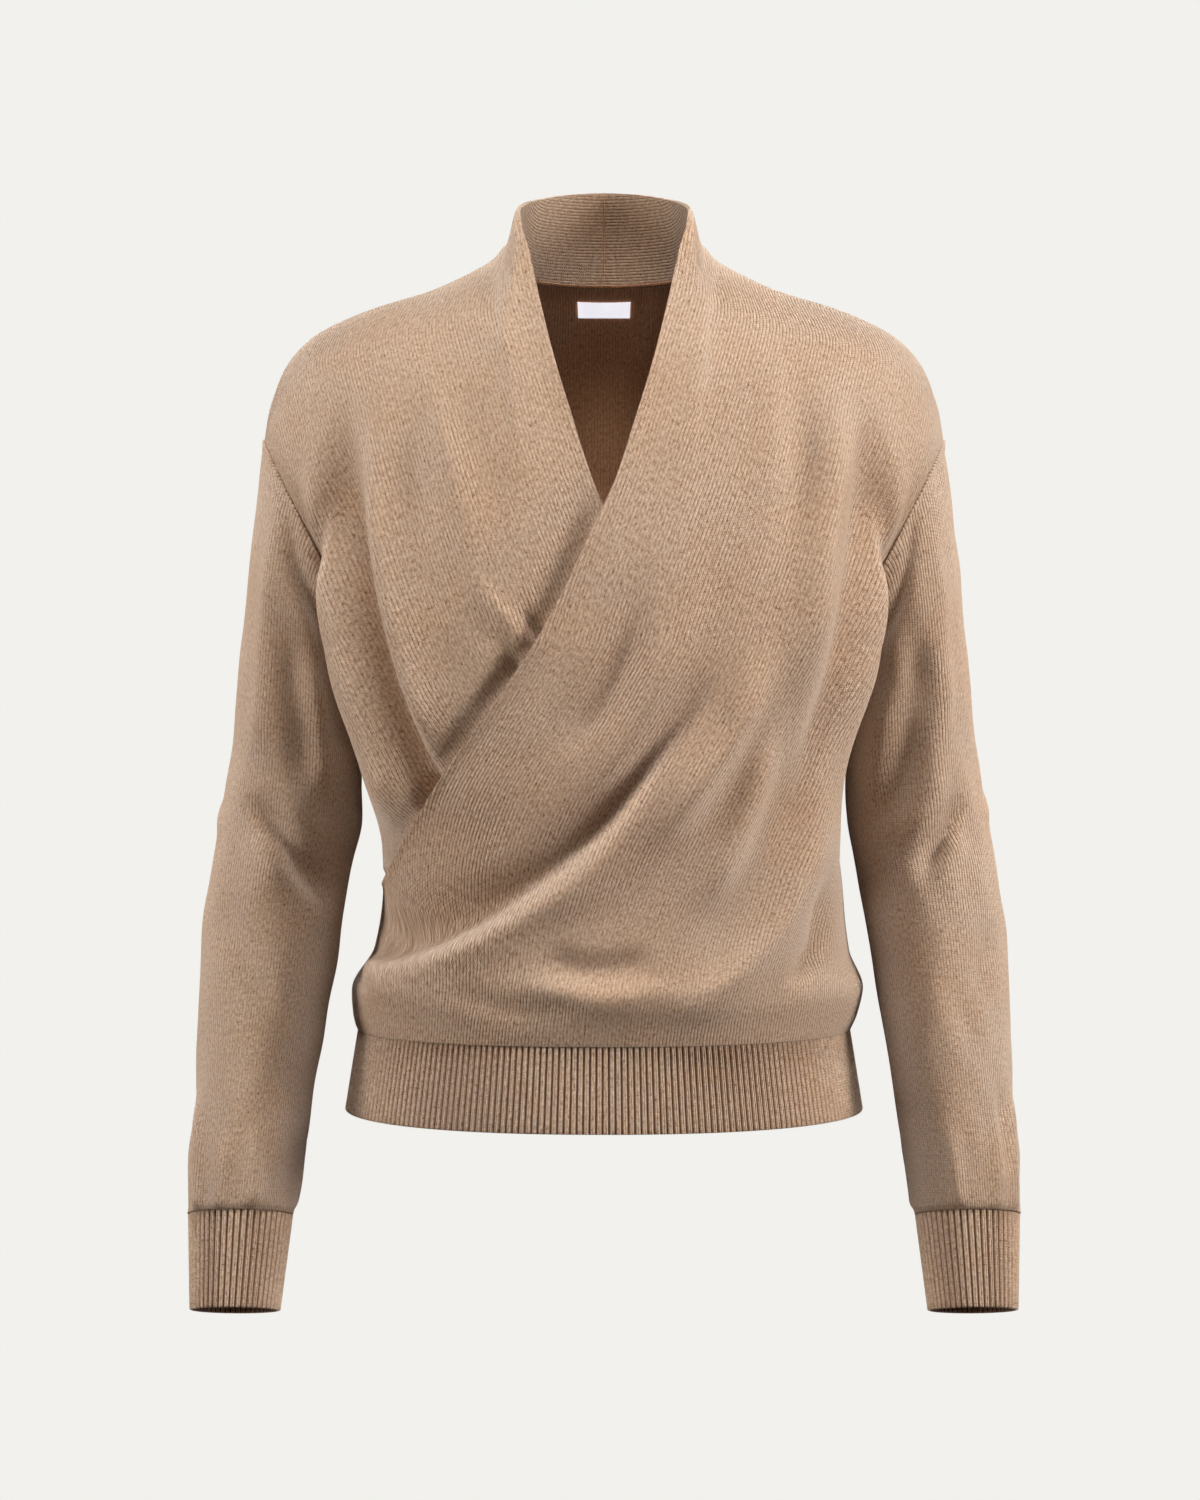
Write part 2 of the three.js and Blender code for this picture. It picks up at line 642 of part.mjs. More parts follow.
function frontGeometry(isUnder) {
  const side = isUnder ? -1 : 1;
  const sheet = new Sheet();
  const top = LEVELS.length - 1;
  LEVELS.forEach((up, row) => {
    for (let column = 0; column <= FRONT_COLUMNS; column++) {
      const reach = side * columnReach(column, up);
      const normal = bodyNormal(reach, up, -1);
      const place = frontPoint(reach, up, isUnder);
      const atSide = column === 0 || (column === FRONT_COLUMNS && Math.abs(reach) > 0.9999);
      let vertex = { place, inward: null };
      if (column === 0 && up > UNDERARM_UP - 1e-9) vertex = armholeVertex(up, -1, side);
      else if (row === top && column === NECK_COLUMN) vertex = neckPointVertex(side);
      else if (atSide || (row === top && column < NECK_COLUMN)) vertex = seamVertex(place, normal, -1);
      if (row === 0) {
        vertex.place.z += HALF_GAP;
        vertex.inward = new THREE.Vector3(normal.x, normal.y, 0).normalize().multiplyScalar(-WALL);
        if (atSide) vertex.inward.set(-Math.sign(reach) * WALL, 0, 0);
      }
      sheet.add(row, column, vertex.place, vertex.inward);
    }
  });
  addCollarHalf(sheet, top, side);
  sheet.fill([0, top], [0, FRONT_COLUMNS]);
  sheet.fill([top, top + COLLAR_STEPS], [NECK_COLUMN, FRONT_COLUMNS]);
  return sheet.wall(WALL, isUnder);
}

function neckPointVertex(side) {
  const place = neckSeamPoint(0);
  place.y = -HALF_GAP;
  place.z += HALF_GAP;
  return { place: mirrored(place, side), inward: mirrored(neckSeamInward(0), side) };
}

// The half collar that goes on from a front round the back of the neck.
function addCollarHalf(sheet, top, side) {
  for (let step = 1; step <= COLLAR_STEPS; step++) {
    const turn = radians((90 * step) / COLLAR_STEPS);
    for (let column = NECK_COLUMN; column <= FRONT_COLUMNS; column++) {
      const rise = (column - NECK_COLUMN) / (FRONT_COLUMNS - NECK_COLUMN);
      const bottom = neckSeamPoint(turn);
      bottom.z += HALF_GAP;
      const place = bottom.clone().lerp(collarTopPoint(turn), rise);
      const bow = COLLAR_BOW * Math.sin(Math.PI * rise);
      const out = neckSeamInward(turn).multiplyScalar(-1 / WALL);
      place.addScaledVector(out, bow);
      let inward = null;
      if (column === NECK_COLUMN) inward = mirrored(neckSeamInward(turn), side);
      if (step === COLLAR_STEPS) {
        place.x = HALF_GAP;
        inward = new THREE.Vector3(0, -WALL, 0);
      }
      sheet.add(top + step, column, mirrored(place, side), inward);
    }
  }
}

// ---------------------------------------------------------------- back

// Reach of a back column at a level: even round the body below, on the neck seam's steps and
// along the shoulder at the top.
function backReach(column, up) {
  const count = Math.abs(column);
  const low = count / (COLLAR_STEPS + SHOULDER_COLUMNS);
  const neckShare = NECK_HALF_WIDTH / SHOULDER_LINE[SHOULDER_LINE.length - 1].x;
  const turn = Math.min(count / COLLAR_STEPS, 1);
  const onNeck = reachOf(neckShare * Math.sin(radians(90 * turn)), BACK_SQUARENESS);
  const high = mix(onNeck, 1, Math.max(0, count - COLLAR_STEPS) / SHOULDER_COLUMNS);
  return Math.sign(column) * mix(low, high, smooth(BACK_STEPS_LEVEL, 1, up));
}

function backGeometry() {
  const sheet = new Sheet();
  const most = COLLAR_STEPS + SHOULDER_COLUMNS;
  const top = LEVELS.length - 1;
  LEVELS.forEach((up, row) => {
    for (let column = -most; column <= most; column++) {
      const side = Math.sign(column) || 1;
      const count = Math.abs(column);
      const reach = backReach(column, up);
      const normal = bodyNormal(reach, up, 1);
      let vertex = { place: backPoint(reach, up), inward: null };
      if (count === most && up > UNDERARM_UP - 1e-9) vertex = armholeVertex(up, 1, side);
      else if (row === top && count <= COLLAR_STEPS) vertex = neckVertex(count, side);
      else if (count === most || row === top) vertex = seamVertex(vertex.place, normal, 1);
      if (row === 0) {
        vertex.place.z += HALF_GAP;
        vertex.inward = new THREE.Vector3(normal.x, normal.y, 0).normalize().multiplyScalar(-WALL);
        if (count === most) vertex.inward.set(-side * WALL, 0, 0);
      }
      sheet.add(row, column + most, vertex.place, vertex.inward);
    }
  });
  sheet.fill([0, top], [0, 2 * most]);
  return sheet.wall(WALL, false);
}

function neckVertex(count, side) {
  const turn = radians(90 * (1 - count / COLLAR_STEPS));
  const place = neckSeamPoint(turn);
  place.z -= HALF_GAP;
  if (count === COLLAR_STEPS) place.y = HALF_GAP;
  return { place: mirrored(place, side), inward: mirrored(neckSeamInward(turn), side) };
}

// ---------------------------------------------------------------- sleeves and cuffs

function sleeveTilt(part) {
  return radians(CUFF.tilt) * smooth(...TILT_PARTS, part);
}

// A point of the wearer's left sleeve before its creases. part runs from 0 at the armhole to
// 1 at the cuff seam, and angle from 0 at the outer side round the front.
function sleeveForm(part, angle) {
  const rows = SLEEVE.map((row, i) => ({ ...row, part: i / (SLEEVE.length - 1) }));
  const value = (column) => read(rows, "part", column, part);
  const cos = Math.cos(angle);
  const forward = Math.sin(angle);
  const x = mix(value("inX"), value("outX"), (1 + cos) / 2);
  const z = mix(value("inZ"), value("outZ"), (1 + cos) / 2);
  const y = value("y") - value("depth") * forward;
  return new THREE.Vector3(x, y, z + value("depth") * forward * Math.tan(sleeveTilt(part)));
}

// The creases on the sleeve rolled out flat, with distances round it in place of angles.
const unrolled = ([degrees, z]) => [radians(degrees) * SLEEVE_MEAN_RADIUS, z];
const UNROLLED_CREASES = SLEEVE_CREASES.map((crease) => ({
  ...crease,
  from: unrolled(crease.from),
  over: unrolled(crease.over),
  to: unrolled(crease.to),
}));

function sleevePoint(part, angle) {
  const STEP = 0.01;
  const point = sleeveForm(part, angle);
  const p0 = clamp(part, STEP, 1 - STEP);
  const round = sleeveForm(p0, angle + STEP).sub(sleeveForm(p0, angle - STEP));
  const down = sleeveForm(p0 + STEP, angle).sub(sleeveForm(p0 - STEP, angle));
  const normal = round.cross(down).normalize().multiplyScalar(-1);
  const calm = smooth(0, CREASE_PARTS.armhole, part) * smooth(1, CREASE_PARTS.cuff, part);
  const out = calm * foldHeight(UNROLLED_CREASES, angle * SLEEVE_MEAN_RADIUS, point.z);
  return point.addScaledVector(normal, out);
}

function sleeveGeometry(side) {
  const sheet = new Sheet();
  const cuffTop = cuffFrame();
  for (let ring = 0; ring <= SLEEVE_RINGS; ring++) {
    const part = ring / SLEEVE_RINGS;
    for (let column = 0; column < SLEEVE_COLUMNS; column++) {
      const angle = (2 * Math.PI * column) / SLEEVE_COLUMNS;
      let place = sleevePoint(part, angle);
      let inward = null;
      if (ring === 0) {
        place = armholePoint(angle, -1).addScaledVector(armholeAxis, HALF_GAP);
        inward = armholeInward(angle, -1, side);
      }
      if (ring === SLEEVE_RINGS) {
        place = cuffTop.ring(angle, 0, 0).addScaledVector(cuffTop.axis, -HALF_GAP);
        inward = cuffTop.ring(angle, 0, -WALL).sub(cuffTop.ring(angle, 0, 0));
        inward = mirrored(inward, side);
      }
      sheet.add(ring, column, mirrored(place, side), inward);
    }
  }
  sheet.fill([0, SLEEVE_RINGS], [0, SLEEVE_COLUMNS], true);
  return sheet.wall(WALL, side < 0);
}

// The cuff's own frame: its axis runs down the forearm, tilted to the front.
function cuffFrame() {
  const end = SLEEVE[SLEEVE.length - 1];
  const centre = new THREE.Vector3((end.outX + end.inX) / 2, end.y, (end.outZ + end.inZ) / 2);
  const halfWidth = (end.outX - end.inX) / 2;
  const tilt = radians(CUFF.tilt);
  const axis = new THREE.Vector3(0, -Math.sin(tilt), -Math.cos(tilt));
  const front = new THREE.Vector3(0, -Math.cos(tilt), Math.sin(tilt));
  const ring = (angle, down, more) => {
    const fall = down / CUFF.length;
    const width = mix(halfWidth, CUFF.halfWidth, fall) + more;
    const depth = mix(end.depth, CUFF.halfDepth, fall) + more;
    const place = centre.clone().addScaledVector(axis, down);
    place.addScaledVector(front, depth * Math.sin(angle));
    place.x += width * Math.cos(angle) + CUFF.leanX * fall;
    return place;
  };
  return { axis, ring };
}

// ---------------------------------------------------------------- ribbed bands

// A band whose outer face has raised ribs over a plain inside. ring(angle, fall, more) gives a
// point at an angle, from the seam (fall 0) to the free edge (fall 1), moved out by more.
function ribbedBand(ring, ribs, falls, liningColumns, side) {
  const points = [];
  const faces = [];
  const outerCount = 2 * ribs;
  falls.forEach((fall) => {
    for (let k = 0; k < outerCount; k++) {
      const raised = k % 2 === 0 ? RIB_HEIGHT : 0;
      points.push(mirrored(ring((2 * Math.PI * k) / outerCount, fall, raised - RIB_HEIGHT), side));
    }
  });
  const lining = points.length;
  const ends = [falls[0], falls[falls.length - 1]];
  for (const fall of ends) {
    for (let k = 0; k < liningColumns; k++) {
      const angle = (2 * Math.PI * k) / liningColumns;
      points.push(mirrored(ring(angle, fall, -RIB_HEIGHT - RIB_WALL), side));
    }
  }
  for (let row = 0; row + 1 < falls.length; row++) {
    for (let k = 0; k < outerCount; k++) {
      const next = (k + 1) % outerCount;
      const [a, b] = [row * outerCount + k, row * outerCount + next];
      const [c, d] = [a + outerCount, b + outerCount];
      faces.push([a, c, d], [a, d, b]);
    }
  }
  for (let k = 0; k < liningColumns; k++) {
    const next = (k + 1) % liningColumns;
    const [a, b] = [lining + k, lining + next];
    faces.push([a, b, b + liningColumns], [a, b + liningColumns, a + liningColumns]);
  }
  const lastRow = (falls.length - 1) * outerCount;
  faces.push(...rim(0, outerCount, lining, liningColumns, false));
  faces.push(...rim(lastRow, outerCount, lining + liningColumns, liningColumns, true));
  const turned = side > 0 ? faces.map(([a, b, c]) => [a, c, b]) : faces;
  return solid(points, turned);
}

// The flat edge between an outer ring of many points and an inner ring of fewer.
function rim(outerStart, outerCount, innerStart, innerCount, flip) {
  const faces = [];
  let inner = 0;
  for (let k = 0; k < outerCount; k++) {
    const outerNow = outerStart + k;
    const outerNext = outerStart + ((k + 1) % outerCount);
    faces.push([outerNow, outerNext, innerStart + (inner % innerCount)]);
    while (inner < innerCount && (inner + 0.5) / innerCount <= (k + 1) / outerCount) {
      faces.push([outerNext, innerStart + ((inner + 1) % innerCount), innerStart + (inner % innerCount)]);
      inner += 1;
    }
  }
  return flip ? faces.map(([a, b, c]) => [a, c, b]) : faces;
}

function hemGeometry() {
  const ring = (angle, fall, more) => {
    const down = mix(HEM_BAND[0].down + HALF_GAP, HEM_BAND[2].down, fall);
    const front = Math.sin(angle) > 0;
    const squareness = front ? HEM_SQUARENESS : BACK_SQUARENESS;
    const width = read(HEM_BAND, "down", "width", down) + more;
    const depth = read(HEM_BAND, "down", front ? "front" : "back", down) + more;
    const cos = Math.cos(angle);
    const sin = Math.sin(angle);
    const x = width * Math.sign(cos) * Math.abs(cos) ** (2 / squareness);
    const y = -depth * Math.sign(sin) * Math.abs(sin) ** (2 / squareness);
    return new THREE.Vector3(x, y, -down);
  };
  const even = evenRing((angle) => ring(angle, 0.5, 0));
  const ribs = Math.round(even.length / RIB_PITCH);
  const evenly = (angle, fall, more) => ring(even.angle(angle), fall, more);
  return ribbedBand(evenly, ribs, BAND_FALLS, LINING_COLUMNS, 1);
}

// Spaces points evenly round a closed outline: turns an even angle into the outline's own.
function evenRing(outline) {
  const STEPS = 720;
  const lengths = [0];
  let before = outline(0);
  for (let k = 1; k <= STEPS; k++) {
    const next = outline((2 * Math.PI * k) / STEPS);
    lengths.push(lengths[k - 1] + next.distanceTo(before));
    before = next;
  }
  const length = lengths[STEPS];
  const angle = (even) => {
    const wanted = (even / (2 * Math.PI)) * length;
    let k = lengths.findIndex((value) => value >= wanted);
    if (k < 1) k = k === 0 ? 1 : STEPS;
    const part = (wanted - lengths[k - 1]) / (lengths[k] - lengths[k - 1]);
    return (2 * Math.PI * (k - 1 + part)) / STEPS;
  };
  return { length, angle };
}

function cuffGeometry(side) {
  const frame = cuffFrame();
  const even = evenRing((angle) => frame.ring(angle, CUFF.length / 2, 0));
  const ribs = Math.round(even.length / RIB_PITCH);
  const evenly = (angle, fall, more) =>
    frame.ring(even.angle(angle), mix(HALF_GAP, CUFF.length, fall), more);
  return ribbedBand(evenly, ribs, BAND_FALLS, LINING_COLUMNS / 4, side);
}

// ---------------------------------------------------------------- neck label

// The level at which the back's centre line has a given height.
function backLevel(height) {
  let low = 0.5;
  let high = 1;
  for (let k = 0; k < 40; k++) {
    const middle = (low + high) / 2;
    if (backPoint(0, middle).z < height) low = middle;
    else high = middle;
  }
  return (low + high) / 2;
}

function labelGeometry() {
  const COLUMNS = 8;
  const ROWS = 3;
  const top = backLevel(NECK_BACK_HEIGHT - LABEL.below);
  const bottom = backLevel(NECK_BACK_HEIGHT - LABEL.below - LABEL.height);
  const sheet = new Sheet();
  for (let row = 0; row <= ROWS; row++) {
    const up = mix(bottom, top, row / ROWS);
    for (let column = 0; column <= COLUMNS; column++) {
      const x = mix(-LABEL.width / 2, LABEL.width / 2, column / COLUMNS);
      const reach = reachOf(Math.abs(x) / read(BODY, "up", "backWidth", up), BACK_SQUARENESS);
      const inside = -(WALL + LABEL.clearance);
      const turned = Math.sign(x) * reach;
      sheet.add(row, column, backPoint(turned, up).addScaledVector(bodyNormal(turned, up, 1), inside));
    }
  }
  sheet.fill([0, ROWS], [0, COLUMNS]);
  return sheet.wall(LABEL.wall, false);
}

// ---------------------------------------------------------------- the garment

const knit = { color: 0xbfa383, roughness: 0.95, metalness: 0 };
const rib = { color: 0xb4977a, roughness: 0.95, metalness: 0 };
const tape = { color: 0xe9e6df, roughness: 0.8, metalness: 0 };

function piece(name, geometry, finish) {
  const mesh = new THREE.Mesh(geometry, new THREE.MeshStandardMaterial(finish));
  mesh.name = name;
  return mesh;
}

const jumper = new THREE.Group();
jumper.add(piece("back", backGeometry(), knit));
jumper.add(piece("front_right_under", frontGeometry(true), knit));
jumper.add(piece("front_left_over", frontGeometry(false), knit));
for (const [name, side] of [["right", -1], ["left", 1]]) {
  jumper.add(piece(`sleeve_${name}`, sleeveGeometry(side), knit));
  jumper.add(piece(`cuff_${name}`, cuffGeometry(side), rib));
}
jumper.add(piece("hem_rib", hemGeometry(), rib));
jumper.add(piece("neck_label", labelGeometry(), tape));

export default jumper;
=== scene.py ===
"""V-neck jumper with a wrap front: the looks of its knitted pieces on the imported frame.

Forms are worked out in millimetres, with the sizes of the part's own source, and turned to
metres where a mesh takes its points. +Z is up, -Y is the front and +X the wearer's left.
"""

import math
from typing import NamedTuple

import bmesh
import bpy
import numpy as np
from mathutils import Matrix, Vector


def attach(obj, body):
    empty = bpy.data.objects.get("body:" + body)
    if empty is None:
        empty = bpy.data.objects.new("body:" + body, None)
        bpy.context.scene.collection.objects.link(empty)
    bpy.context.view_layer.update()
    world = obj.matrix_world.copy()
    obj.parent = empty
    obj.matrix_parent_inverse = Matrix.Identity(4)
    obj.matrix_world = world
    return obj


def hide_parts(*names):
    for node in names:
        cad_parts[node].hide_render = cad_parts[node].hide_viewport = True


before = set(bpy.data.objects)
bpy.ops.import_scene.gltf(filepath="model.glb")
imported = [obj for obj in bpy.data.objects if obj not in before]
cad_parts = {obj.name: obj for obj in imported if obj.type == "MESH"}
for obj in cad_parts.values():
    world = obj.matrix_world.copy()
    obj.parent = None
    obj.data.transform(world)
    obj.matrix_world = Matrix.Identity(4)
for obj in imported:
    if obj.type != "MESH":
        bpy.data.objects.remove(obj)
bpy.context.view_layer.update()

MM = 0.001
SIDES = {"left": 1, "right": -1}

# ---------------- sizes of the garment

WALL = 2.0
CUT_EDGE = 0.7

NECK_HALF_WIDTH = 61.0
NECK_BACK_DEPTH = 65.0
NECK_POINT_HEIGHT = 11.0
NECK_BACK_HEIGHT = -6.0
NECK_RISE_SHARE = 0.72
COLLAR_TOP = {"half_width": 52.5, "side_y": 6.0, "back_y": 57.0, "side": 34.0, "back": 53.0}
COLLAR_BOW = 2.5
# Above this height the collar's inner face is the knit's right side.
COLLAR_FROM = -7.0
# The collar's turn over which it takes up what the front's folds do at their joint.
COLLAR_SETTLE = math.radians(50)
# The plain strip beside the front's edge, which runs on into the collar.
STRIP_AT_NECK = 8.5
STRIP_BELOW = 30.0

ARMHOLE_TOP = (210.0, -110.0)
ARMHOLE_BOTTOM = (144.0, -238.0)
ARMHOLE_HALF_DEPTH = 52.0
UNDERARM_UP = 0.47

BODY_HEIGHT = 493.0
QUARTER_GIRTH = 215.0
BACK_SQUARENESS = 2.3
FOLD_REACH = 0.7
TURNED_IN_REACH = 0.9
UNDERARM_FLARE = 6.0
FLARE_RUN = 0.022

# The right front lies this far under the left one, and further in where it is hidden. Runs are
# distances inside the left front's edge, below 0 outside it.
LAYER_STEP = 2.9
HIDDEN_CLEARANCE = 10.0
LAYER_RUN = (-15.0, -1.5)
HIDDEN_RUN = (0.0, 50.0)
COVER_RUN = (-2.0, 6.0)
RIDGE_RUN = (-32.0, -4.0)
RIDGE_LOSS = 0.8
EDGE_ROLL = {"height": 1.5, "spread": 3.0}
EDGE_TUCK = {"height": 0.8, "spread": 6.0}
# Heights between which the crossing begins, the tuck begins and the two layers part.
CROSSING_HEIGHTS = (-100.0, -135.0)
TUCK_HEIGHTS = (-140.0, -170.0)
PARTING_HEIGHTS = (-150.0, -200.0)

# How far the cloth sinks in at a sewn seam, and how soon it rises again beside it.
SEAM_DIP = {"depth": 1.3, "run": 2.6}
SIDE_SEAM_SHARE = 0.2

BODY_WAVES = {"seed": 7, "size": 55, "height": 1.0}
SLEEVE_WAVES = {"size": 48, "height": 1.2}
SLEEVE_WAVE_TURN = 70.0
SLEEVE_WAVE_SEEDS = {1: 12, -1: 10}
WAVE_COUNT = 7

SLEEVE_MEAN_RADIUS = 46.0
# Shares of the sleeve's length: where its creases end, and where it turns in to each seam.
SLEEVE_CALM = (0.07, 0.97)
SLEEVE_JOINS = (0.03, 0.985)
CUFF = {"length": 57.0, "half_width": 27.0, "half_depth": 27.0, "tilt": 15.6, "lean": 1.5}
CUFF_TOP = {"centre": (218.5, -56.0, -580.0), "half_width": 31.5, "half_depth": 28.0}
HEM_LENGTH = 50.0
HEM_SQUARENESS = 2.2

# A rib is two raised wales with a faint line between them, over a narrow groove.
RIB_PITCH = 3.7
RIB_HEIGHT = 1.0
RIB_WALL = 1.8
RIB_MIDDLE = 0.38
RIB_LINE = {"depth": 0.16, "spread": 0.07}
RIM_DROP = 1.0
RIB_START = 0.9

# The knit is 14 gauge. Its wales, about 1.25 mm wide, and its courses, about 1 mm high, are
# drawn 1.6 times as coarse so that they show.
WALE = 2.0
COURSE = 1.6

LABEL = {"width": 36.0, "height": 9.6, "below": 7.2, "clearance": 1.2}
TAPE = {"wall": 0.5, "rounding": 0.12, "puff": 0.35}
SEAM_STITCH = 1.9
NECK_CORD = {"radius": 1.15, "half_turn": math.radians(78), "points": 420}
COLLAR_CORD = {"radius": 0.6, "sunk": 0.1, "from": 0.04, "to": 0.97, "points": 220}
CORD_SIDES = 8
CORD_FLATNESS = 1.25

# How finely each piece is divided.
BODY_ROWS = 250
FRONT_COLUMNS = 172
NECK_COLUMN = 150
COLLAR_ROWS = 48
BACK_COLUMNS = 170
ARC_SAMPLES = 801
PATH_STEPS = 6
SLEEVE_COLUMNS = 128
SLEEVE_LEVELS = 180
SLEEVE_SAMPLES = 400
POINTS_PER_RIB = 10
BAND_ROWS = 14
RIM_ROWS = 6
LINING_ROWS = 6
CLOSING_ROWS = 2
BAND_SAMPLES = 2881
LABEL_COLUMNS = 48
LABEL_ROWS = 16

# ---------------- sizes of the studio, in metres

FLOOR_HEIGHT = -2.1
FLOOR_RADIUS = 1.4
# The lamps light the garment alone, so a soft glow keeps the floor pale.
FLOOR_GLOW = 0.32
LIT_POINT = (0, 0, -0.28)
# Each lamp's place and size, its power in watts, its spread in degrees and its colour.
LAMPS = {
    "right": ((2.25, -0.7, 0.3), (0.7, 1.4), 13.8, 70, "#FFFDFB"),
    "left": ((-2.3, -0.45, 0.1), (0.7, 1.6), 10.5, 70, "#FFFDFB"),
    "above": ((0.0, -0.7, 2.0), (0.9, 0.7), 3.8, 45, "#FFFEFD"),
    "front": ((0.1, -2.9, 0.3), (0.6, 0.6), 1.0, 60, "#FFFEFD"),
    "behind right": ((1.7, 1.7, 0.3), (0.8, 1.4), 5, 60, "#FFFFFF"),
    "behind left": ((-1.7, 1.7, 0.3), (0.8, 1.4), 5, 60, "#FFFFFF"),
}
CAMERA_PLACE = (0, -1.85, -0.271)
CAMERA_LENS = 71.6
CAMERA_SHIFT = (-4 / 1500, -0.0333)

# ---------------- sections and outlines


class Table:
    """Rows of values in named columns, read by the first column on a smooth curve that does
    not overshoot them."""

    def __init__(self, columns, rows):
        self.columns = dict(zip(columns.split(), np.array(rows, dtype=float).T))
        self.keys = self.columns[columns.split()[0]]

    def read(self, column, at):
        keys, values = self.keys, self.columns[column]
        slopes = np.diff(values) / np.diff(keys)
        product = slopes[:-1] * slopes[1:]
        total = np.where(product > 0, slopes[:-1] + slopes[1:], 1)
        inner = np.where(product > 0, 2 * product / total, 0)
        tangents = np.concatenate([slopes[:1], inner, slopes[-1:]])
        at = np.clip(at, keys[0], keys[-1])
        i = np.clip(np.searchsorted(keys, at, side="right") - 1, 0, len(keys) - 2)
        run = keys[i + 1] - keys[i]
        t = (at - keys[i]) / run
        start = (2 * t**3 - 3 * t**2 + 1) * values[i] + (t**3 - 2 * t**2 + t) * run * tangents[i]
        end = (3 * t**2 - 2 * t**3) * values[i + 1] + (t**3 - t**2) * run * tangents[i + 1]
        return start + end


# Levels of the body from the hem seam up to the shoulder line: height at the centre, half
# widths at the side seam, of the front and of the back, depths, how boxy the front is, and how
# far the section leans to the wearer's left.
BODY = Table(
    "up middle side width back_width front back square shift",
    [
        [0.0, -473, 152.6, 152.6, 152.6, 114.6, 92.6, 2.2, 0],
        [0.02, -464, 155.5, 155.5, 155.5, 117.5, 95, 2.2, 1],
        [0.05, -449, 157.5, 157.5, 157.5, 122, 99, 2.25, 2.5],
        [0.1, -424, 146, 146, 146, 121, 99, 2.35, 5],
        [0.16, -394, 142, 143, 143, 119, 97, 2.4, 6],
        [0.24, -355, 140, 147, 142, 119, 96, 2.5, 3],
        [0.32, -315, 138, 155, 143, 121, 97, 2.6, 0],
        [0.4, -275, 136.5, 167, 144, 122, 98, 2.6, 0],
        [0.44, -255, 138, 172, 145, 122, 99, 2.6, 0],
        [0.46, -244, 140.5, 174, 147, 122, 99, 2.6, 0],
        [0.47, -238, 144, 175, 151, 122, 99, 2.6, 0],
        [0.585, -182, 144, 181, 167, 118, 99, 2.6, 0],
        [0.71, -122, 144, 187, 184, 106, 96, 2.6, 0],
        [0.83, -62, 144, 208, 208, 84, 84, 2.6, 0],
        [0.93, -14, 144, 216, 216, 53, 55, 2.6, 0],
        [0.965, 3, 144, 215, 215, 40, 42, 2.6, 0],
        [0.985, 12.7, 144, 213, 213, 27, 28, 2.6, 0],
        [1.0, 20, 144, 210, 210, 0, 0, 2.6, 0],
    ],
)

# What the back gains round the neck.
NAPE = Table(
    "up depth half_width dip",
    [
        [0.0, 0, 120, 0],
        [0.71, 3, 110, 0.12],
        [0.83, 10, 95, 0.4],
        [0.93, 30, 78, 0.72],
        [0.965, 36, 71, 0.85],
        [0.985, 45, 66, 0.94],
        [1.0, 65, 61, 1],
    ],
)

SHOULDER_LINE = Table(
    "x height",
    [
        [0, 20], [40, 16], [61, 11], [68, 3], [81, -5], [107, -17], [145, -29], [173, -42],
        [187, -54], [195, -66], [201, -79], [207, -93], [210, -110],
    ],
)
SHOULDER_TOP = 20.0

# The left front's edge: down the V, over the right front and round to the right side seam.
FRONT_EDGE = Table(
    "height x",
    [
        [-410, -175], [-398, -152], [-385, -136], [-359, -121], [-315, -94], [-236, -39],
        [-156, 0.5], [-144, 6], [-105, 18.5], [-70, 29], [-24, 40], [0, 45], [18, 50], [34, 52.5],
    ],
)

# How far the knit leans with the front's edge, in degrees from upright.
KNIT_LEAN = Table(
    "height degrees",
    [[-473, 0], [-440, 3], [-390, 20], [-320, 30], [-220, 27], [-120, 19], [0, 13], [34, 10]],
)

# Sleeve sections from the armhole down to the cuff seam.
SLEEVE_ROWS = [
    [210, -110, 144, -238, 0, 52],
    [212, -122, 148.5, -239, 0.5, 52.5],
    [214.5, -142, 151.5, -244, 1.5, 53],
    [218, -172, 153, -254, 3, 53],
    [222.5, -212, 153, -270, 6, 51],
    [227, -254, 152, -290, 9, 50],
    [232, -300, 151, -318, 12, 49],
    [238.5, -342, 152, -346, 12.5, 48],
    [245.5, -384, 158, -380, 7, 46],
    [249.5, -438, 165, -430, -7, 42],
    [249, -500, 174, -490, -26, 39],
    [251, -548, 181, -540, -44, 34.5],
    [250.7, -568, 184, -561, -51, 31],
    [250, -582, 187, -578, -56, 28.2],
]
SLEEVE = Table(
    "part out_x out_z in_x in_z y depth",
    [[i / (len(SLEEVE_ROWS) - 1), *row] for i, row in enumerate(SLEEVE_ROWS)],
)

HEM_BAND = Table("down width front back", [[473, 152, 114, 92], [498, 156, 119, 95], [523, 160, 123, 98]])

# ---------------- folds and creases


class Fold(NamedTuple):
    """A fold along a path of [x, z] points. It stands out where its height is above 0 and sinks
    in below it, and falls away over one distance on the left of the path and another on its
    right. It rises over one share of the path at the start and dies over another at the end."""

    path: list
    left: float
    right: float
    height: float
    rise: float = 0.3
    fall: float = 0.3


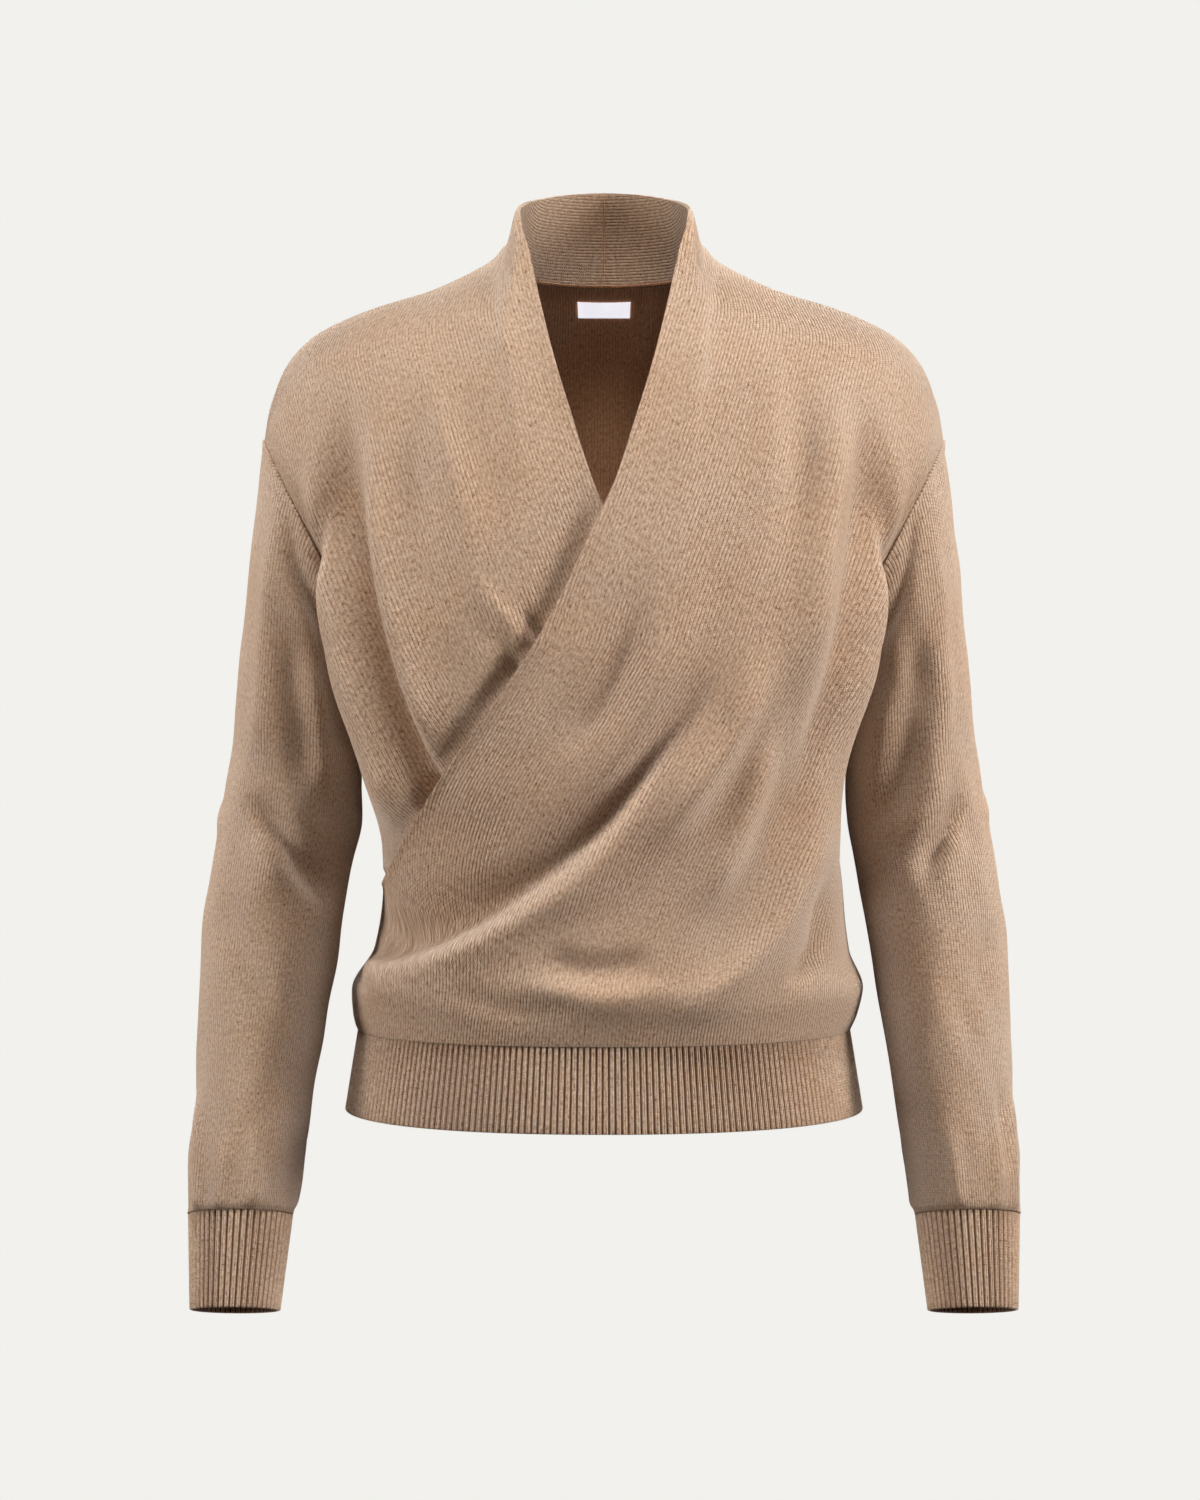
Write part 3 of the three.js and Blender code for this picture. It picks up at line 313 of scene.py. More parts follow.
LEFT_FRONT_FOLDS = [
    # the left front's long crease: a trough with a sharp ridge under it, out to the right side
    Fold([(78, -212), (52, -268), (23, -313), (-6, -352), (-44, -383), (-86, -406), (-134, -424)],
         8, 18, -11, 0.5, 0.05),
    Fold([(64, -268), (40, -302), (14, -338), (-14, -366), (-52, -394), (-96, -418), (-148, -438)],
         17, 5, 9, 0.4, 0.05),
    # the ridge above it and the hollow beside that
    Fold([(98, -236), (87, -268), (74, -295), (58, -318), (40, -343), (20, -364)], 8, 11, 8, 0.3, 0.4),
    Fold([(96, -268), (83, -308), (64, -340), (44, -364)], 11, 9, -3.5, 0.5, 0.5),
    # the trough beside the crossing, and the rise next to it
    Fold([(26, -176), (20, -215), (12, -242), (0, -268), (-14, -288), (-32, -306)], 8, 13, -5, 0.5, 0.3),
    Fold([(44, -196), (39, -236), (30, -264), (18, -290), (2, -316), (-18, -340)], 12, 10, 5, 0.5, 0.3),
    Fold([(74, -150), (66, -210), (54, -262)], 13, 13, -2.4, 0.5, 0.5),
    # the left front's side, down from the armhole and round over the hem
    Fold([(126, -232), (119, -280), (110, -322), (97, -356), (80, -388), (58, -412), (34, -426)],
         15, 16, -8, 0.4, 0.5),
    Fold([(104, -290), (91, -325), (76, -362), (56, -398)], 8, 9, 5),
    Fold([(136, -290), (127, -346), (113, -384), (92, -416), (64, -440), (26, -454)], 14, 9, 8),
    Fold([(137, -364), (132, -398), (125, -422), (106, -438)], 6, 8, -9),
    Fold([(136, -78), (137, -130), (130, -180), (124, -232), (110, -286)], 9, 13, 8),
    Fold([(154, -84), (156, -140), (150, -192), (142, -242), (128, -294), (116, -332)], 9, 8, -10),
    Fold([(174, -100), (174, -150), (167, -200), (156, -256), (138, -320)], 8, 7, 6),
    Fold([(96, -40), (98, -110), (90, -190)], 10, 10, 2.2, 0.5, 0.5),
    Fold([(114, -50), (116, -120), (106, -220)], 9, 10, -2.4, 0.5, 0.5),
    # low hollows over the hem
    Fold([(-40, -418), (-6, -428), (34, -420)], 9, 9, -4.5),
    Fold([(-96, -440), (-52, -452), (-6, -448)], 8, 8, -3.5),
    Fold([(-60, -436), (0, -444), (60, -436)], 7, 8, 3),
    # the pinch where the collar leaves the shoulder, and a soft drop below it
    Fold([(66, -6), (68, -24), (65, -44)], 6, 5, -3.5, 0.1, 0.6),
    Fold([(58, -40), (50, -90), (36, -140)], 10, 12, 2.5),
]
RIGHT_FRONT_FOLDS = [
    # a deep trough down the side between two ridges that run in under the left front
    Fold([(-174, -100), (-172, -155), (-165, -205), (-154, -255), (-139, -300), (-121, -346), (-104, -384)],
         9, 8, 8, 0.2, 0.1),
    Fold([(-154, -76), (-152, -140), (-145, -196), (-133, -248), (-118, -288), (-102, -322), (-84, -362)],
         7, 10, -15, 0.3, 0.05),
    Fold([(-134, -76), (-136, -140), (-130, -194), (-120, -240), (-106, -280), (-90, -314), (-72, -352)],
         13, 6, 9, 0.3, 0.05),
    Fold([(-120, -56), (-114, -120), (-106, -170), (-94, -226)], 9, 9, -2, 0.5, 0.5),
    Fold([(-50, -247), (-62, -264), (-75, -284)], 6, 6, -3, 0.2, 0.8),
    Fold([(-106, -66), (-98, -98), (-91, -128), (-82, -162), (-70, -200)], 9, 9, 2.6, 0.5, 0.4),
    Fold([(-94, -50), (-82, -98), (-70, -134), (-56, -170)], 9, 9, -1.8, 0.5, 0.5),
    # the short pinch where it goes under
    Fold([(-82, -190), (-66, -211), (-54, -227), (-44, -241)], 4, 5, 6, 0.9, 0.1),
    Fold([(-50, -206), (-44, -224), (-37, -241)], 5, 4, -3, 0.8, 0),
    Fold([(-84, -204), (-68, -228), (-52, -248)], 4, 8, -1.5, 0.7, 0),
    # the pinch where the collar leaves the shoulder, and a soft rise below it
    Fold([(-66, -6), (-68, -24), (-64, -44)], 6, 7, -2.5, 0.2, 0.6),
    Fold([(-92, -36), (-70, -50), (-52, -66)], 8, 8, 2),
]
BACK_FOLDS = [
    # down each side from the armhole
    Fold([(168, -120), (164, -200), (152, -270), (128, -345)], 13, 12, 5.2),
    Fold([(144, -100), (142, -190), (128, -270), (100, -340)], 10, 12, -8.2),
    Fold([(118, -140), (114, -240), (88, -340), (30, -430)], 14, 9, 6),
    Fold([(84, -230), (74, -300), (46, -366), (0, -412)], 15, 12, -6),
    Fold([(-168, -116), (-162, -196), (-150, -270), (-126, -350)], 13, 12, 5.2),
    Fold([(-146, -94), (-140, -190), (-128, -262), (-104, -330)], 10, 9, -9),
    Fold([(-112, -150), (-110, -260), (-90, -360), (-40, -440)], 12, 12, 6),
    Fold([(-76, -320), (-30, -384), (30, -408), (90, -418)], 15, 10, -6.8),
    # soft ones down the middle, and those that gather over the hem
    Fold([(-56, -60), (-30, -150), (-34, -240)], 16, 14, 3),
    Fold([(60, -70), (40, -160), (44, -250)], 14, 16, 3),
    Fold([(-6, -120), (6, -220), (0, -310)], 14, 14, -3),
    Fold([(-124, -392), (-60, -432), (10, -446), (70, -440)], 8, 10, 5.2),
    Fold([(128, -366), (96, -416), (40, -438)], 12, 8, 4.5),
]

# Sleeve creases lie along [degrees, z]: degrees run from the outer side round the front, so 90
# is the front and 180 is next to the body.
BOTH_SLEEVE_CREASES = [
    Fold([(300, -300), (260, -340), (215, -365)], 9, 12, 6),
    Fold([(315, -335), (265, -366), (205, -392)], 12, 8, -6),
    Fold([(268, -170), (262, -240), (240, -310)], 11, 11, -6),
    Fold([(292, -180), (290, -250), (276, -300)], 10, 10, 4),
    Fold([(300, -420), (270, -470), (230, -510)], 12, 11, 4),
    Fold([(250, -520), (262, -550), (258, -576)], 7, 7, -3, 0.5, 0),
    Fold([(200, -516), (206, -548), (202, -576)], 7, 7, -3, 0.5, 0),
]
RIGHT_SLEEVE_CREASES = [
    Fold([(60, -128), (60, -200), (62, -270), (58, -316)], 10, 10, -3.5),
    Fold([(60, -140), (84, -187), (116, -226), (134, -254)], 5, 6, 3.5),
    Fold([(80, -132), (102, -176), (126, -216)], 6, 7, -4),
    Fold([(84, -222), (90, -262), (98, -296), (106, -332)], 11, 10, 3.5),
    Fold([(108, -236), (119, -290), (124, -336)], 10, 9, -3.5),
    Fold([(50, -332), (62, -338), (78, -347), (94, -359), (114, -376), (136, -392), (152, -402)],
         10, 4.5, 6.5, 0.4, 0.3),
    Fold([(58, -352), (72, -361), (90, -374), (110, -391)], 5, 10, -2, 0.4, 0.4),
    Fold([(-16, -334), (8, -344), (36, -352)], 7, 8, -2.2),
    Fold([(40, -390), (72, -424), (110, -462)], 13, 11, 3.5),
    Fold([(26, -500), (38, -534), (44, -574)], 7, 7, -4, 0.5, 0),
    Fold([(66, -520), (72, -548), (70, -576)], 6, 7, -3, 0.5, 0),
    Fold([(104, -516), (106, -548), (112, -576)], 7, 7, -3.5, 0.5, 0),
    Fold([(8, -506), (18, -536), (20, -560)], 6, 7, 3),
]
LEFT_SLEEVE_CREASES = [
    Fold([(60, -140), (61, -220), (67, -288), (80, -330), (96, -349), (114, -366)], 10, 10, -4.5),
    Fold([(73, -138), (79, -166), (96, -202), (117, -228), (139, -252)], 5, 6, 4),
    Fold([(96, -140), (112, -180), (130, -216)], 6, 7, -4),
    Fold([(93, -210), (92, -258), (100, -300), (112, -328), (128, -350)], 10, 10, 4),
    Fold([(116, -256), (128, -300), (140, -340)], 9, 9, -3.5),
    Fold([(50, -332), (62, -342), (76, -356), (92, -371), (110, -386)], 10, 4.5, 6.5, 0.4, 0.4),
    Fold([(58, -352), (76, -369), (98, -389)], 5, 10, -2, 0.4, 0.4),
    Fold([(-14, -328), (8, -338), (34, -347)], 7, 8, -2.2),
    Fold([(32, -400), (64, -440), (96, -490)], 12, 12, 3.5),
    Fold([(22, -496), (34, -530), (36, -574)], 7, 7, -3.5, 0.5, 0),
    Fold([(60, -512), (58, -544), (64, -576)], 7, 6, -3.5, 0.5, 0),
    Fold([(98, -522), (104, -550), (102, -576)], 7, 6, -3, 0.5, 0),
    Fold([(44, -500), (48, -530), (50, -556)], 6, 7, 3),
]

# ---------------- numbers


def smooth(start, end, value):
    t = np.clip((value - start) / (end - start), 0, 1)
    return t * t * (3 - 2 * t)


def mix(a, b, t):
    return a + (b - a) * t


def rounded(distance, spread):
    """1 at no distance, falling softly to 0 a few spreads away."""
    return np.exp(-((distance / spread) ** 2))


def run_along(points):
    """How far along its points a line has come at each of them."""
    return np.concatenate([[0], np.cumsum(np.linalg.norm(np.diff(points, axis=0), axis=-1))])


def stack(x, y, z):
    return np.stack(np.broadcast_arrays(x, y, z), axis=-1)


def unit(vectors):
    length = np.linalg.norm(vectors, axis=-1, keepdims=True)
    return vectors / np.maximum(length, 1e-9)


def smooth_path(points):
    """A curve through the points, as a list of closer ones."""
    points = np.array(points, dtype=float)
    before = np.vstack([2 * points[0] - points[1], points[:-2]])
    after = np.vstack([points[2:], 2 * points[-1] - points[-2]])
    t = np.arange(PATH_STEPS)[:, None, None] / PATH_STEPS
    a, b = points[:-1], points[1:]
    curve = 0.5 * (
        2 * a
        + (b - before) * t
        + (2 * before - 5 * a + 4 * b - after) * t**2
        + (3 * a - before - 3 * b + after) * t**3
    )
    inside = curve.transpose(1, 0, 2).reshape(-1, 2)
    return np.vstack([inside, points[-1]])


def fold_height(folds, a, b):
    """The height that a set of folds adds at places given by two measures on the cloth."""
    total = np.zeros(np.shape(a))
    for fold in folds:
        path = smooth_path(fold.path)
        count = len(path) - 1
        nearest = np.full(total.shape, np.inf)
        along = np.zeros(total.shape)
        on_left = np.zeros(total.shape)
        for k, (start, end) in enumerate(zip(path[:-1], path[1:])):
            run = end - start
            part = np.clip(((a - start[0]) * run[0] + (b - start[1]) * run[1]) / (run @ run), 0, 1)
            away_a = a - start[0] - part * run[0]
            away_b = b - start[1] - part * run[1]
            distance = np.hypot(away_a, away_b)
            closer = distance < nearest
            nearest = np.where(closer, distance, nearest)
            along = np.where(closer, (k + part) / count, along)
            on_left = np.where(closer, run[0] * away_b - run[1] * away_a, on_left)
        spread = np.where(on_left > 0, fold.left, fold.right)
        ends = smooth(-0.01, fold.rise, along) * smooth(-0.01, fold.fall, 1 - along)
        total += fold.height * ends * rounded(nearest, spread)
    return total


def soft_waves(a, b, seed, size, height):
    """Small uneven waves of handled cloth: a few crossing sines whose lengths have no common
    measure."""
    draw = np.random.default_rng(seed)
    total = np.zeros(np.shape(a))
    for _ in range(WAVE_COUNT):
        turn = draw.uniform(0, 2 * math.pi)
        length = size * draw.uniform(0.6, 1.7)
        phase = draw.uniform(0, 2 * math.pi)
        total += np.sin(2 * math.pi * (a * math.cos(turn) + b * math.sin(turn)) / length + phase)
    return height * total / WAVE_COUNT


# ---------------- the body's form


def armhole_point(angle, face):
    """A point of the armhole: 0 at the shoulder tip, pi at the underarm."""
    middle_x = (ARMHOLE_TOP[0] + ARMHOLE_BOTTOM[0]) / 2
    middle_z = (ARMHOLE_TOP[1] + ARMHOLE_BOTTOM[1]) / 2
    half_x = (ARMHOLE_TOP[0] - ARMHOLE_BOTTOM[0]) / 2
    half_z = (ARMHOLE_TOP[1] - ARMHOLE_BOTTOM[1]) / 2
    return stack(
        middle_x + half_x * np.cos(angle),
        face * ARMHOLE_HALF_DEPTH * np.sin(angle),
        middle_z + half_z * np.cos(angle),
    )


def side_end(up, face):
    """Where a body panel ends at a level: on the side seam, and above it on the armhole."""
    seam = stack(BODY.read("side", up), 0 * up, BODY.read("middle", up))
    angle = np.pi * (1 - np.clip((up - UNDERARM_UP) / (1 - UNDERARM_UP), 0, 1))
    return np.where((up <= UNDERARM_UP)[..., None], seam, armhole_point(angle, face))


def shoulder_drop(reach):
    """The share of the way from the shoulder line's top to its tip that it has fallen."""
    height = SHOULDER_LINE.read("height", reach * ARMHOLE_TOP[0])
    return (SHOULDER_TOP - height) / (SHOULDER_TOP - ARMHOLE_TOP[1])


def squareness_at(up, face):
    return BODY.read("square", up) if face < 0 else BACK_SQUARENESS + 0 * up


def share_of(reach, squareness):
    """How far out an even turn round the body is across its width."""
    return np.sin(np.radians(90 * reach)) ** (2 / squareness)


def reach_of(share, squareness):
    turned = np.arcsin(np.clip(np.abs(share), 0, 1) ** (squareness / 2)) / math.radians(90)
    return np.sign(share) * turned


def neck_seam_height(back):
    """Height of the neck seam: flat across the back and up to the neck points. back is the
    share of the way from them to the centre back."""
    return mix(NECK_POINT_HEIGHT, NECK_BACK_HEIGHT, smooth(0, NECK_RISE_SHARE, back))


def back_neck(x, y, z, up):
    """Lets the back stand out and dip round the neck, down to the neck seam."""
    inside = np.maximum(0, 1 - (x / NAPE.read("half_width", up)) ** 2)
    y = y + NAPE.read("depth", up) * inside ** mix(1.5, 0.5, smooth(0.955, 1, up))
    seam_x = NECK_HALF_WIDTH * np.sqrt(1 - inside)
    dip = SHOULDER_LINE.read("height", seam_x) - neck_seam_height(np.sqrt(inside))
    return y, z - NAPE.read("dip", up) * np.where(inside > 0, dip, 0)


def front_neck(x, y, z, up):
    """Lifts the inner end of a front, where it runs on into the collar."""
    stand = smooth(0.9, 1, up) * smooth(NECK_HALF_WIDTH, COLLAR_TOP["half_width"], x)
    neck_height = float(SHOULDER_LINE.read("height", COLLAR_TOP["half_width"]))
    return y - stand * COLLAR_TOP["side_y"], z + stand * (COLLAR_TOP["side"] - neck_height)


def body_form(reach, up, face):
    """Points of the body before its folds. reach runs from 0 at the centre to 1 at the side end
    and is below 0 on the wearer's right. face is -1 for the front and 1 for the back."""
    reach, up = np.broadcast_arrays(reach, up)
    squareness = squareness_at(up, face)
    width = BODY.read("width" if face < 0 else "back_width", up)
    middle = BODY.read("middle", up)
    depth = BODY.read("front" if face < 0 else "back", up)
    end = side_end(up, face)
    end_depth = np.clip(np.abs(end[..., 1]) / np.maximum(depth, 1e-6), 0, 0.92) * (depth > 0)
    end_reach = (1 - end_depth**squareness) ** (1 / squareness)
    along = np.abs(reach)
    share = share_of(along, squareness)
    across = share * end_reach
    x = width * across
    y = depth * np.maximum(0, 1 - across**squareness) ** (1 / squareness)
    z = middle - (middle - end[..., 2]) * shoulder_drop(share)
    y, z = (front_neck if face < 0 else back_neck)(x, y, z, up)
    pull = smooth(FOLD_REACH, TURNED_IN_REACH, along)
    flare = UNDERARM_FLARE * rounded(up - UNDERARM_UP, FLARE_RUN)
    x = x + (end[..., 0] - flare - width * end_reach) * pull
    x = x + flare * smooth(TURNED_IN_REACH, 1, along)
    y = y + (np.abs(end[..., 1]) - depth * end_depth) * pull
    sign = np.where(reach < 0, -1.0, 1.0)
    return stack(sign * x + BODY.read("shift", up), face * y, z)


def body_normal(reach, up, face):
    step = 0.004
    r = np.clip(reach, -1 + step, 1 - step)
    u = np.clip(up, step, 1 - step)
    across = body_form(r + step, u, face) - body_form(r - step, u, face)
    rising = body_form(r, u + step, face) - body_form(r, u - step, face)
    return unit(-face * np.cross(across, rising))


def edge_reach(up):
    """The reach at which the left front's edge crosses each level."""
    low = np.full(np.shape(up), -1.0)
    high = np.ones(np.shape(up))
    for _ in range(30):
        middle = (low + high) / 2
        point = body_form(middle, up, -1)
        short = point[..., 0] < FRONT_EDGE.read("x", point[..., 2])
        low = np.where(short, middle, low)
        high = np.where(short, high, middle)
    return np.where(low < -0.9999, -1.0, (low + high) / 2)


def inside_edge(up, reach):
    """How far inside the left front's edge a place lies, across the edge."""
    step = 0.01
    run = (edge_reach(up + step) - edge_reach(up - step)) * QUARTER_GIRTH
    slope = run / (2 * step * BODY_HEIGHT)
    return (reach - edge_reach(up)) * QUARTER_GIRTH / np.hypot(1, slope)


def under_layer_depth(inside, height, up, reach):
    """How far the right front lies below the left front's surface."""
    covered = smooth(*LAYER_RUN, inside) * smooth(*CROSSING_HEIGHTS, height)
    free = smooth(*HIDDEN_RUN, inside) * smooth(0, 0.12, up) * smooth(1, 0.75, reach)
    return covered * (LAYER_STEP + HIDDEN_CLEARANCE * free * smooth(*PARTING_HEIGHTS, height))


def fold_share(reach, up):
    """Folds fade towards the seams; above the waist they stay outside the outer fold."""
    low = smooth(1, 0.93, np.abs(reach))
    high = smooth(0.94, 0.82, np.abs(reach))
    sides = mix(low, high, smooth(0.12, 0.24, up))
    return smooth(0, 0.05, up) * smooth(1, 0.9, up) * sides


def seam_dip(distance):
    return SEAM_DIP["depth"] * rounded(distance, SEAM_DIP["run"])


def side_seam_dip(reach, up):
    """A panel's dip at its side end: shallow on the side seam and full on the armhole."""
    at_armhole = smooth(UNDERARM_UP - 0.06, UNDERARM_UP, up)
    return seam_dip((1 - np.abs(reach)) * QUARTER_GIRTH) * mix(SIDE_SEAM_SHARE, 1, at_armhole)


def raised(point, reach, up, face, height, below):
    """Points of a panel moved out by their folds' height, or in by how deep they lie below."""
    hidden = smooth(LAYER_STEP, LAYER_STEP + HIDDEN_CLEARANCE, below)
    below = below + side_seam_dip(reach, up)
    out = fold_share(reach, up) * (height + soft_waves(point[..., 0], point[..., 2], **BODY_WAVES))
    return point + body_normal(reach, up, face) * (out * (1 - hidden) - below)[..., None]


def edge_roll(up, reach):
    """How far a front's free edge rolls out. reach is that of the left front."""
    return EDGE_ROLL["height"] * rounded(inside_edge(up, reach), EDGE_ROLL["spread"])


def back_points(reach, up):
    point = body_form(reach, up, 1)
    height = fold_height(BACK_FOLDS, point[..., 0], point[..., 2])
    return raised(point, reach, up, 1, height, np.zeros(height.shape))


def left_front_points(reach, up):
    point = body_form(reach, up, -1)
    height = fold_height(LEFT_FRONT_FOLDS, point[..., 0], point[..., 2])
    return raised(point, reach, up, -1, height, -edge_roll(up, reach))


def right_front_points(reach, up):
    """Points of the under front. It follows the left front's folds where that covers it, and
    its ridges run out before the left front's edge."""
    point = body_form(reach, up, -1)
    x, z = point[..., 0], point[..., 2]
    inside = inside_edge(up, reach)
    height = fold_height(RIGHT_FRONT_FOLDS, x, z)
    height = height - RIDGE_LOSS * np.maximum(height, 0) * smooth(*RIDGE_RUN, inside)
    height = mix(height, fold_height(LEFT_FRONT_FOLDS, x, z), smooth(*COVER_RUN, inside))
    tuck = EDGE_TUCK["height"] * rounded(inside, EDGE_TUCK["spread"]) * smooth(*TUCK_HEIGHTS, z)
    below = under_layer_depth(inside, z, up, reach) + tuck
    return raised(point, reach, up, -1, height, below - edge_roll(up, -reach))


# ---------------- meshes from grids


def put(name, data):
    """Puts data into the scene as an object of that name."""
    thing = bpy.data.objects.new(name, data)
    bpy.context.scene.collection.objects.link(thing)
    return thing


def grid_mesh(name, columns, rows, keep=None):
    """A flat grid whose faces are those that keep(column, row) allows, with the column and row
    of each vertex."""
    bm = bmesh.new()
    bmesh.ops.create_grid(bm, x_segments=columns, y_segments=rows, size=0.5)
    if keep:
        def place(face):
            middle = face.calc_center_median()
            return int((middle.x + 0.5) * columns), int((middle.y + 0.5) * rows)

        dropped = [face for face in bm.faces if not keep(*place(face))]
        bmesh.ops.delete(bm, geom=dropped, context="FACES")
    mesh = bpy.data.meshes.new(name)
    bm.to_mesh(mesh)
    bm.free()
    flat = np.empty(len(mesh.vertices) * 3)
    mesh.vertices.foreach_get("co", flat)
    flat = flat.reshape(-1, 3)
    column = np.rint((flat[:, 0] + 0.5) * columns).astype(int)
    row = np.rint((flat[:, 1] + 0.5) * rows).astype(int)
    return mesh, column, row


def set_form(mesh, points, across, along):
    """Gives a mesh its points, in millimetres, and the knit's own measures across and along
    each point as a UV map in metres."""
    mesh.vertices.foreach_set("co", (points * MM).ravel())
    corner = np.empty(len(mesh.loops), dtype=int)
    mesh.loops.foreach_get("vertex_index", corner)
    layer = mesh.uv_layers.new(name="knit")
    measures = np.stack([across[corner], along[corner]], axis=-1) * MM
    layer.data.foreach_set("uv", measures.ravel())
    mesh.update()


def finish_faces(mesh, flip=False, merge=True):
    """Merges a mesh's doubled points, turns its faces outwards and shades them smooth."""
    bm = bmesh.new()
    bm.from_mesh(mesh)
    if merge:
        bmesh.ops.remove_doubles(bm, verts=bm.verts, dist=0.02 * MM)
    if flip:
        bmesh.ops.reverse_faces(bm, faces=bm.faces)
    bm.to_mesh(mesh)
    bm.free()
    mesh.polygons.foreach_set("use_smooth", [True] * len(mesh.polygons))
    mesh.update()


def add_piece(name, mesh, material, slot, replaced=()):
    """Puts a finished mesh on the frame. A wall's inner face takes the slot after its outer
    one's: the purl side, coloured with painted warm shade, after the first, and after the last
    that one again."""
    piece = put(name, mesh)
    mesh.materials.append(material)
    if slot == "knit":
        mesh.materials.append(PURL_SIDE_WARM_SHADE)
        mesh.materials.append(material)
    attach(piece, "root")
    if replaced:
        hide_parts(*replaced)
    return piece


def give_thickness(piece, wall, round_edges=CUT_EDGE):
    """Turns a sheet into cloth with a wall inside its surface and rounded cut edges."""
    solid = piece.modifiers.new("wall", "SOLIDIFY")
    solid.thickness = wall * MM
    solid.offset = -1
    solid.use_even_offset = False
    solid.material_offset = 1
    rim = piece.modifiers.new("rounded edges", "BEVEL")
    rim.width = round_edges * MM
    rim.segments = 3
    rim.limit_method = "ANGLE"
    rim.angle_limit = math.radians(55)
    rim.use_clamp_overlap = True


def knit_sheet(name, mesh, placed, flip, node, material, merge=False):
    """A sheet of the knit with its wall. placed holds each vertex's point and its measures
    across and along."""
    set_form(mesh, placed[:, :3], placed[:, 3], placed[:, 4])
    finish_faces(mesh, flip=flip, merge=merge)
    piece = add_piece(name, mesh, material, "knit", [node])
    give_thickness(piece, WALL)
    return piece


# ---------------- fronts and back


def level_arcs(up, face):
    """Distances along each level from the centre line, with the reaches they are taken at."""
    reach = np.linspace(-1, 1, ARC_SAMPLES)
    points = body_form(reach[None, :], up[:, None], face)
    steps = np.linalg.norm(np.diff(points, axis=1), axis=-1)
    arcs = np.concatenate([np.zeros((len(up), 1)), np.cumsum(steps, axis=1)], axis=1)
    return reach, arcs - arcs[:, [ARC_SAMPLES // 2]]


def even_reaches(reach, arcs, start, end, count):
    """For each level, count + 1 reaches at even distances between two reaches."""
    result = np.empty((len(arcs), count + 1))
    for row, arc in enumerate(arcs):
        ends = np.interp([start[row], end[row]], reach, arc)
        result[row] = np.interp(np.linspace(*ends, count + 1), arc, reach)
    result[:, 0] = start
    result[:, -1] = end
    return result


def neck_line_reach(up, edge):
    """The reach at which the strip beside the front's edge begins."""
    width = BODY.read("width", up)
    square = squareness_at(up, -1)
    strip = mix(STRIP_BELOW, STRIP_AT_NECK, smooth(0.75, 1, up)) / width
    edge_share = np.sign(edge) * share_of(np.abs(edge), square)
    return np.minimum(reach_of(edge_share + strip, square), 0.9)


def lean_measures(across, along, heights):
    """Turns measures taken across and along a panel by the knit's lean at each height."""
    lean = np.radians(KNIT_LEAN.read("degrees", heights))
    run = np.gradient(along)
    sideways = np.cumsum(np.sin(lean) * run)
    upwards = np.cumsum(np.cos(lean) * run)
    turned = across * np.cos(lean)[:, None] - sideways[:, None]
    risen = across * np.sin(lean)[:, None] + upwards[:, None]
    return turned, risen


def neck_seam_point(turn):
    """A point of the neck seam: turn is 0 at the neck point and a quarter at the centre back."""
    back = np.sin(turn)
    return stack(NECK_HALF_WIDTH * np.cos(turn), NECK_BACK_DEPTH * back, neck_seam_height(back))


def collar_top_point(turn):
    back = np.sin(turn)
    return stack(
        COLLAR_TOP["half_width"] * np.cos(turn),
        mix(COLLAR_TOP["side_y"], COLLAR_TOP["back_y"], back),
        mix(COLLAR_TOP["side"], COLLAR_TOP["back"], back),
    )


def collar_point(turn, rise):
    """A point of the left half collar: turn from the neck point to the centre back, and rise
    from the neck seam to the top edge."""
    bottom = neck_seam_point(turn)
    out = unit(stack(np.cos(turn) / NECK_HALF_WIDTH, np.sin(turn) / NECK_BACK_DEPTH, 0 * turn))
    bow = COLLAR_BOW * np.sin(np.pi * rise)
    return mix(bottom, collar_top_point(turn), rise[..., None]) + out * bow[..., None]


def front_reaches(up):
    """Each level's reaches from the side seam to the free edge, and their distances from the
    centre line. Those from NECK_COLUMN on are the strip that runs on into the collar."""
    edge = edge_reach(up)
    neck_line = neck_line_reach(up, edge)
    reach, arcs = level_arcs(up, -1)
    wide = even_reaches(reach, arcs, np.ones_like(up), neck_line, NECK_COLUMN)
    strip = even_reaches(reach, arcs, neck_line, edge, FRONT_COLUMNS - NECK_COLUMN)
    reaches = np.hstack([wide, strip[:, 1:]])
    return reaches, np.array([np.interp(r, reach, arc) for r, arc in zip(reaches, arcs)])


def front_grid(side):
    """Points of a front below its collar, each with the knit's measures across and along."""
    up = np.linspace(0, 1, BODY_ROWS + 1)
    reaches, across = front_reaches(up)
    levels = np.broadcast_to(up[:, None], reaches.shape)
    if side > 0:
        points = left_front_points(reaches, levels)
    else:
        points = right_front_points(-reaches, levels)
    middle = body_form(np.full_like(up, 0.5), up, -1)
    u, v = lean_measures(across, run_along(middle), middle[:, 2])
    return np.dstack([points, u, v])


def collar_grid(side, neck):
    """A half collar that runs on from neck, the end of the front's top row."""
    turn = np.linspace(0, math.pi / 2, COLLAR_ROWS + 1)[1:, None]
    rise = np.linspace(0, 1, FRONT_COLUMNS - NECK_COLUMN + 1)[None, :]
    turn, rise = np.broadcast_arrays(turn, rise)
    mirror = np.array([side, 1, 1])
    off = neck[:, :3] - collar_point(0 * rise[:1], rise[:1]) * mirror
    collar = collar_point(turn, rise) * mirror + off * smooth(COLLAR_SETTLE, 0, turn)[..., None]
    tall = np.linalg.norm(collar_top_point(turn) - neck_seam_point(turn), axis=-1)
    u = neck[0, 3] - rise * tall
    v = neck[:, 4] + turn * (NECK_HALF_WIDTH + NECK_BACK_DEPTH) / 2
    return np.dstack([collar, u, v])


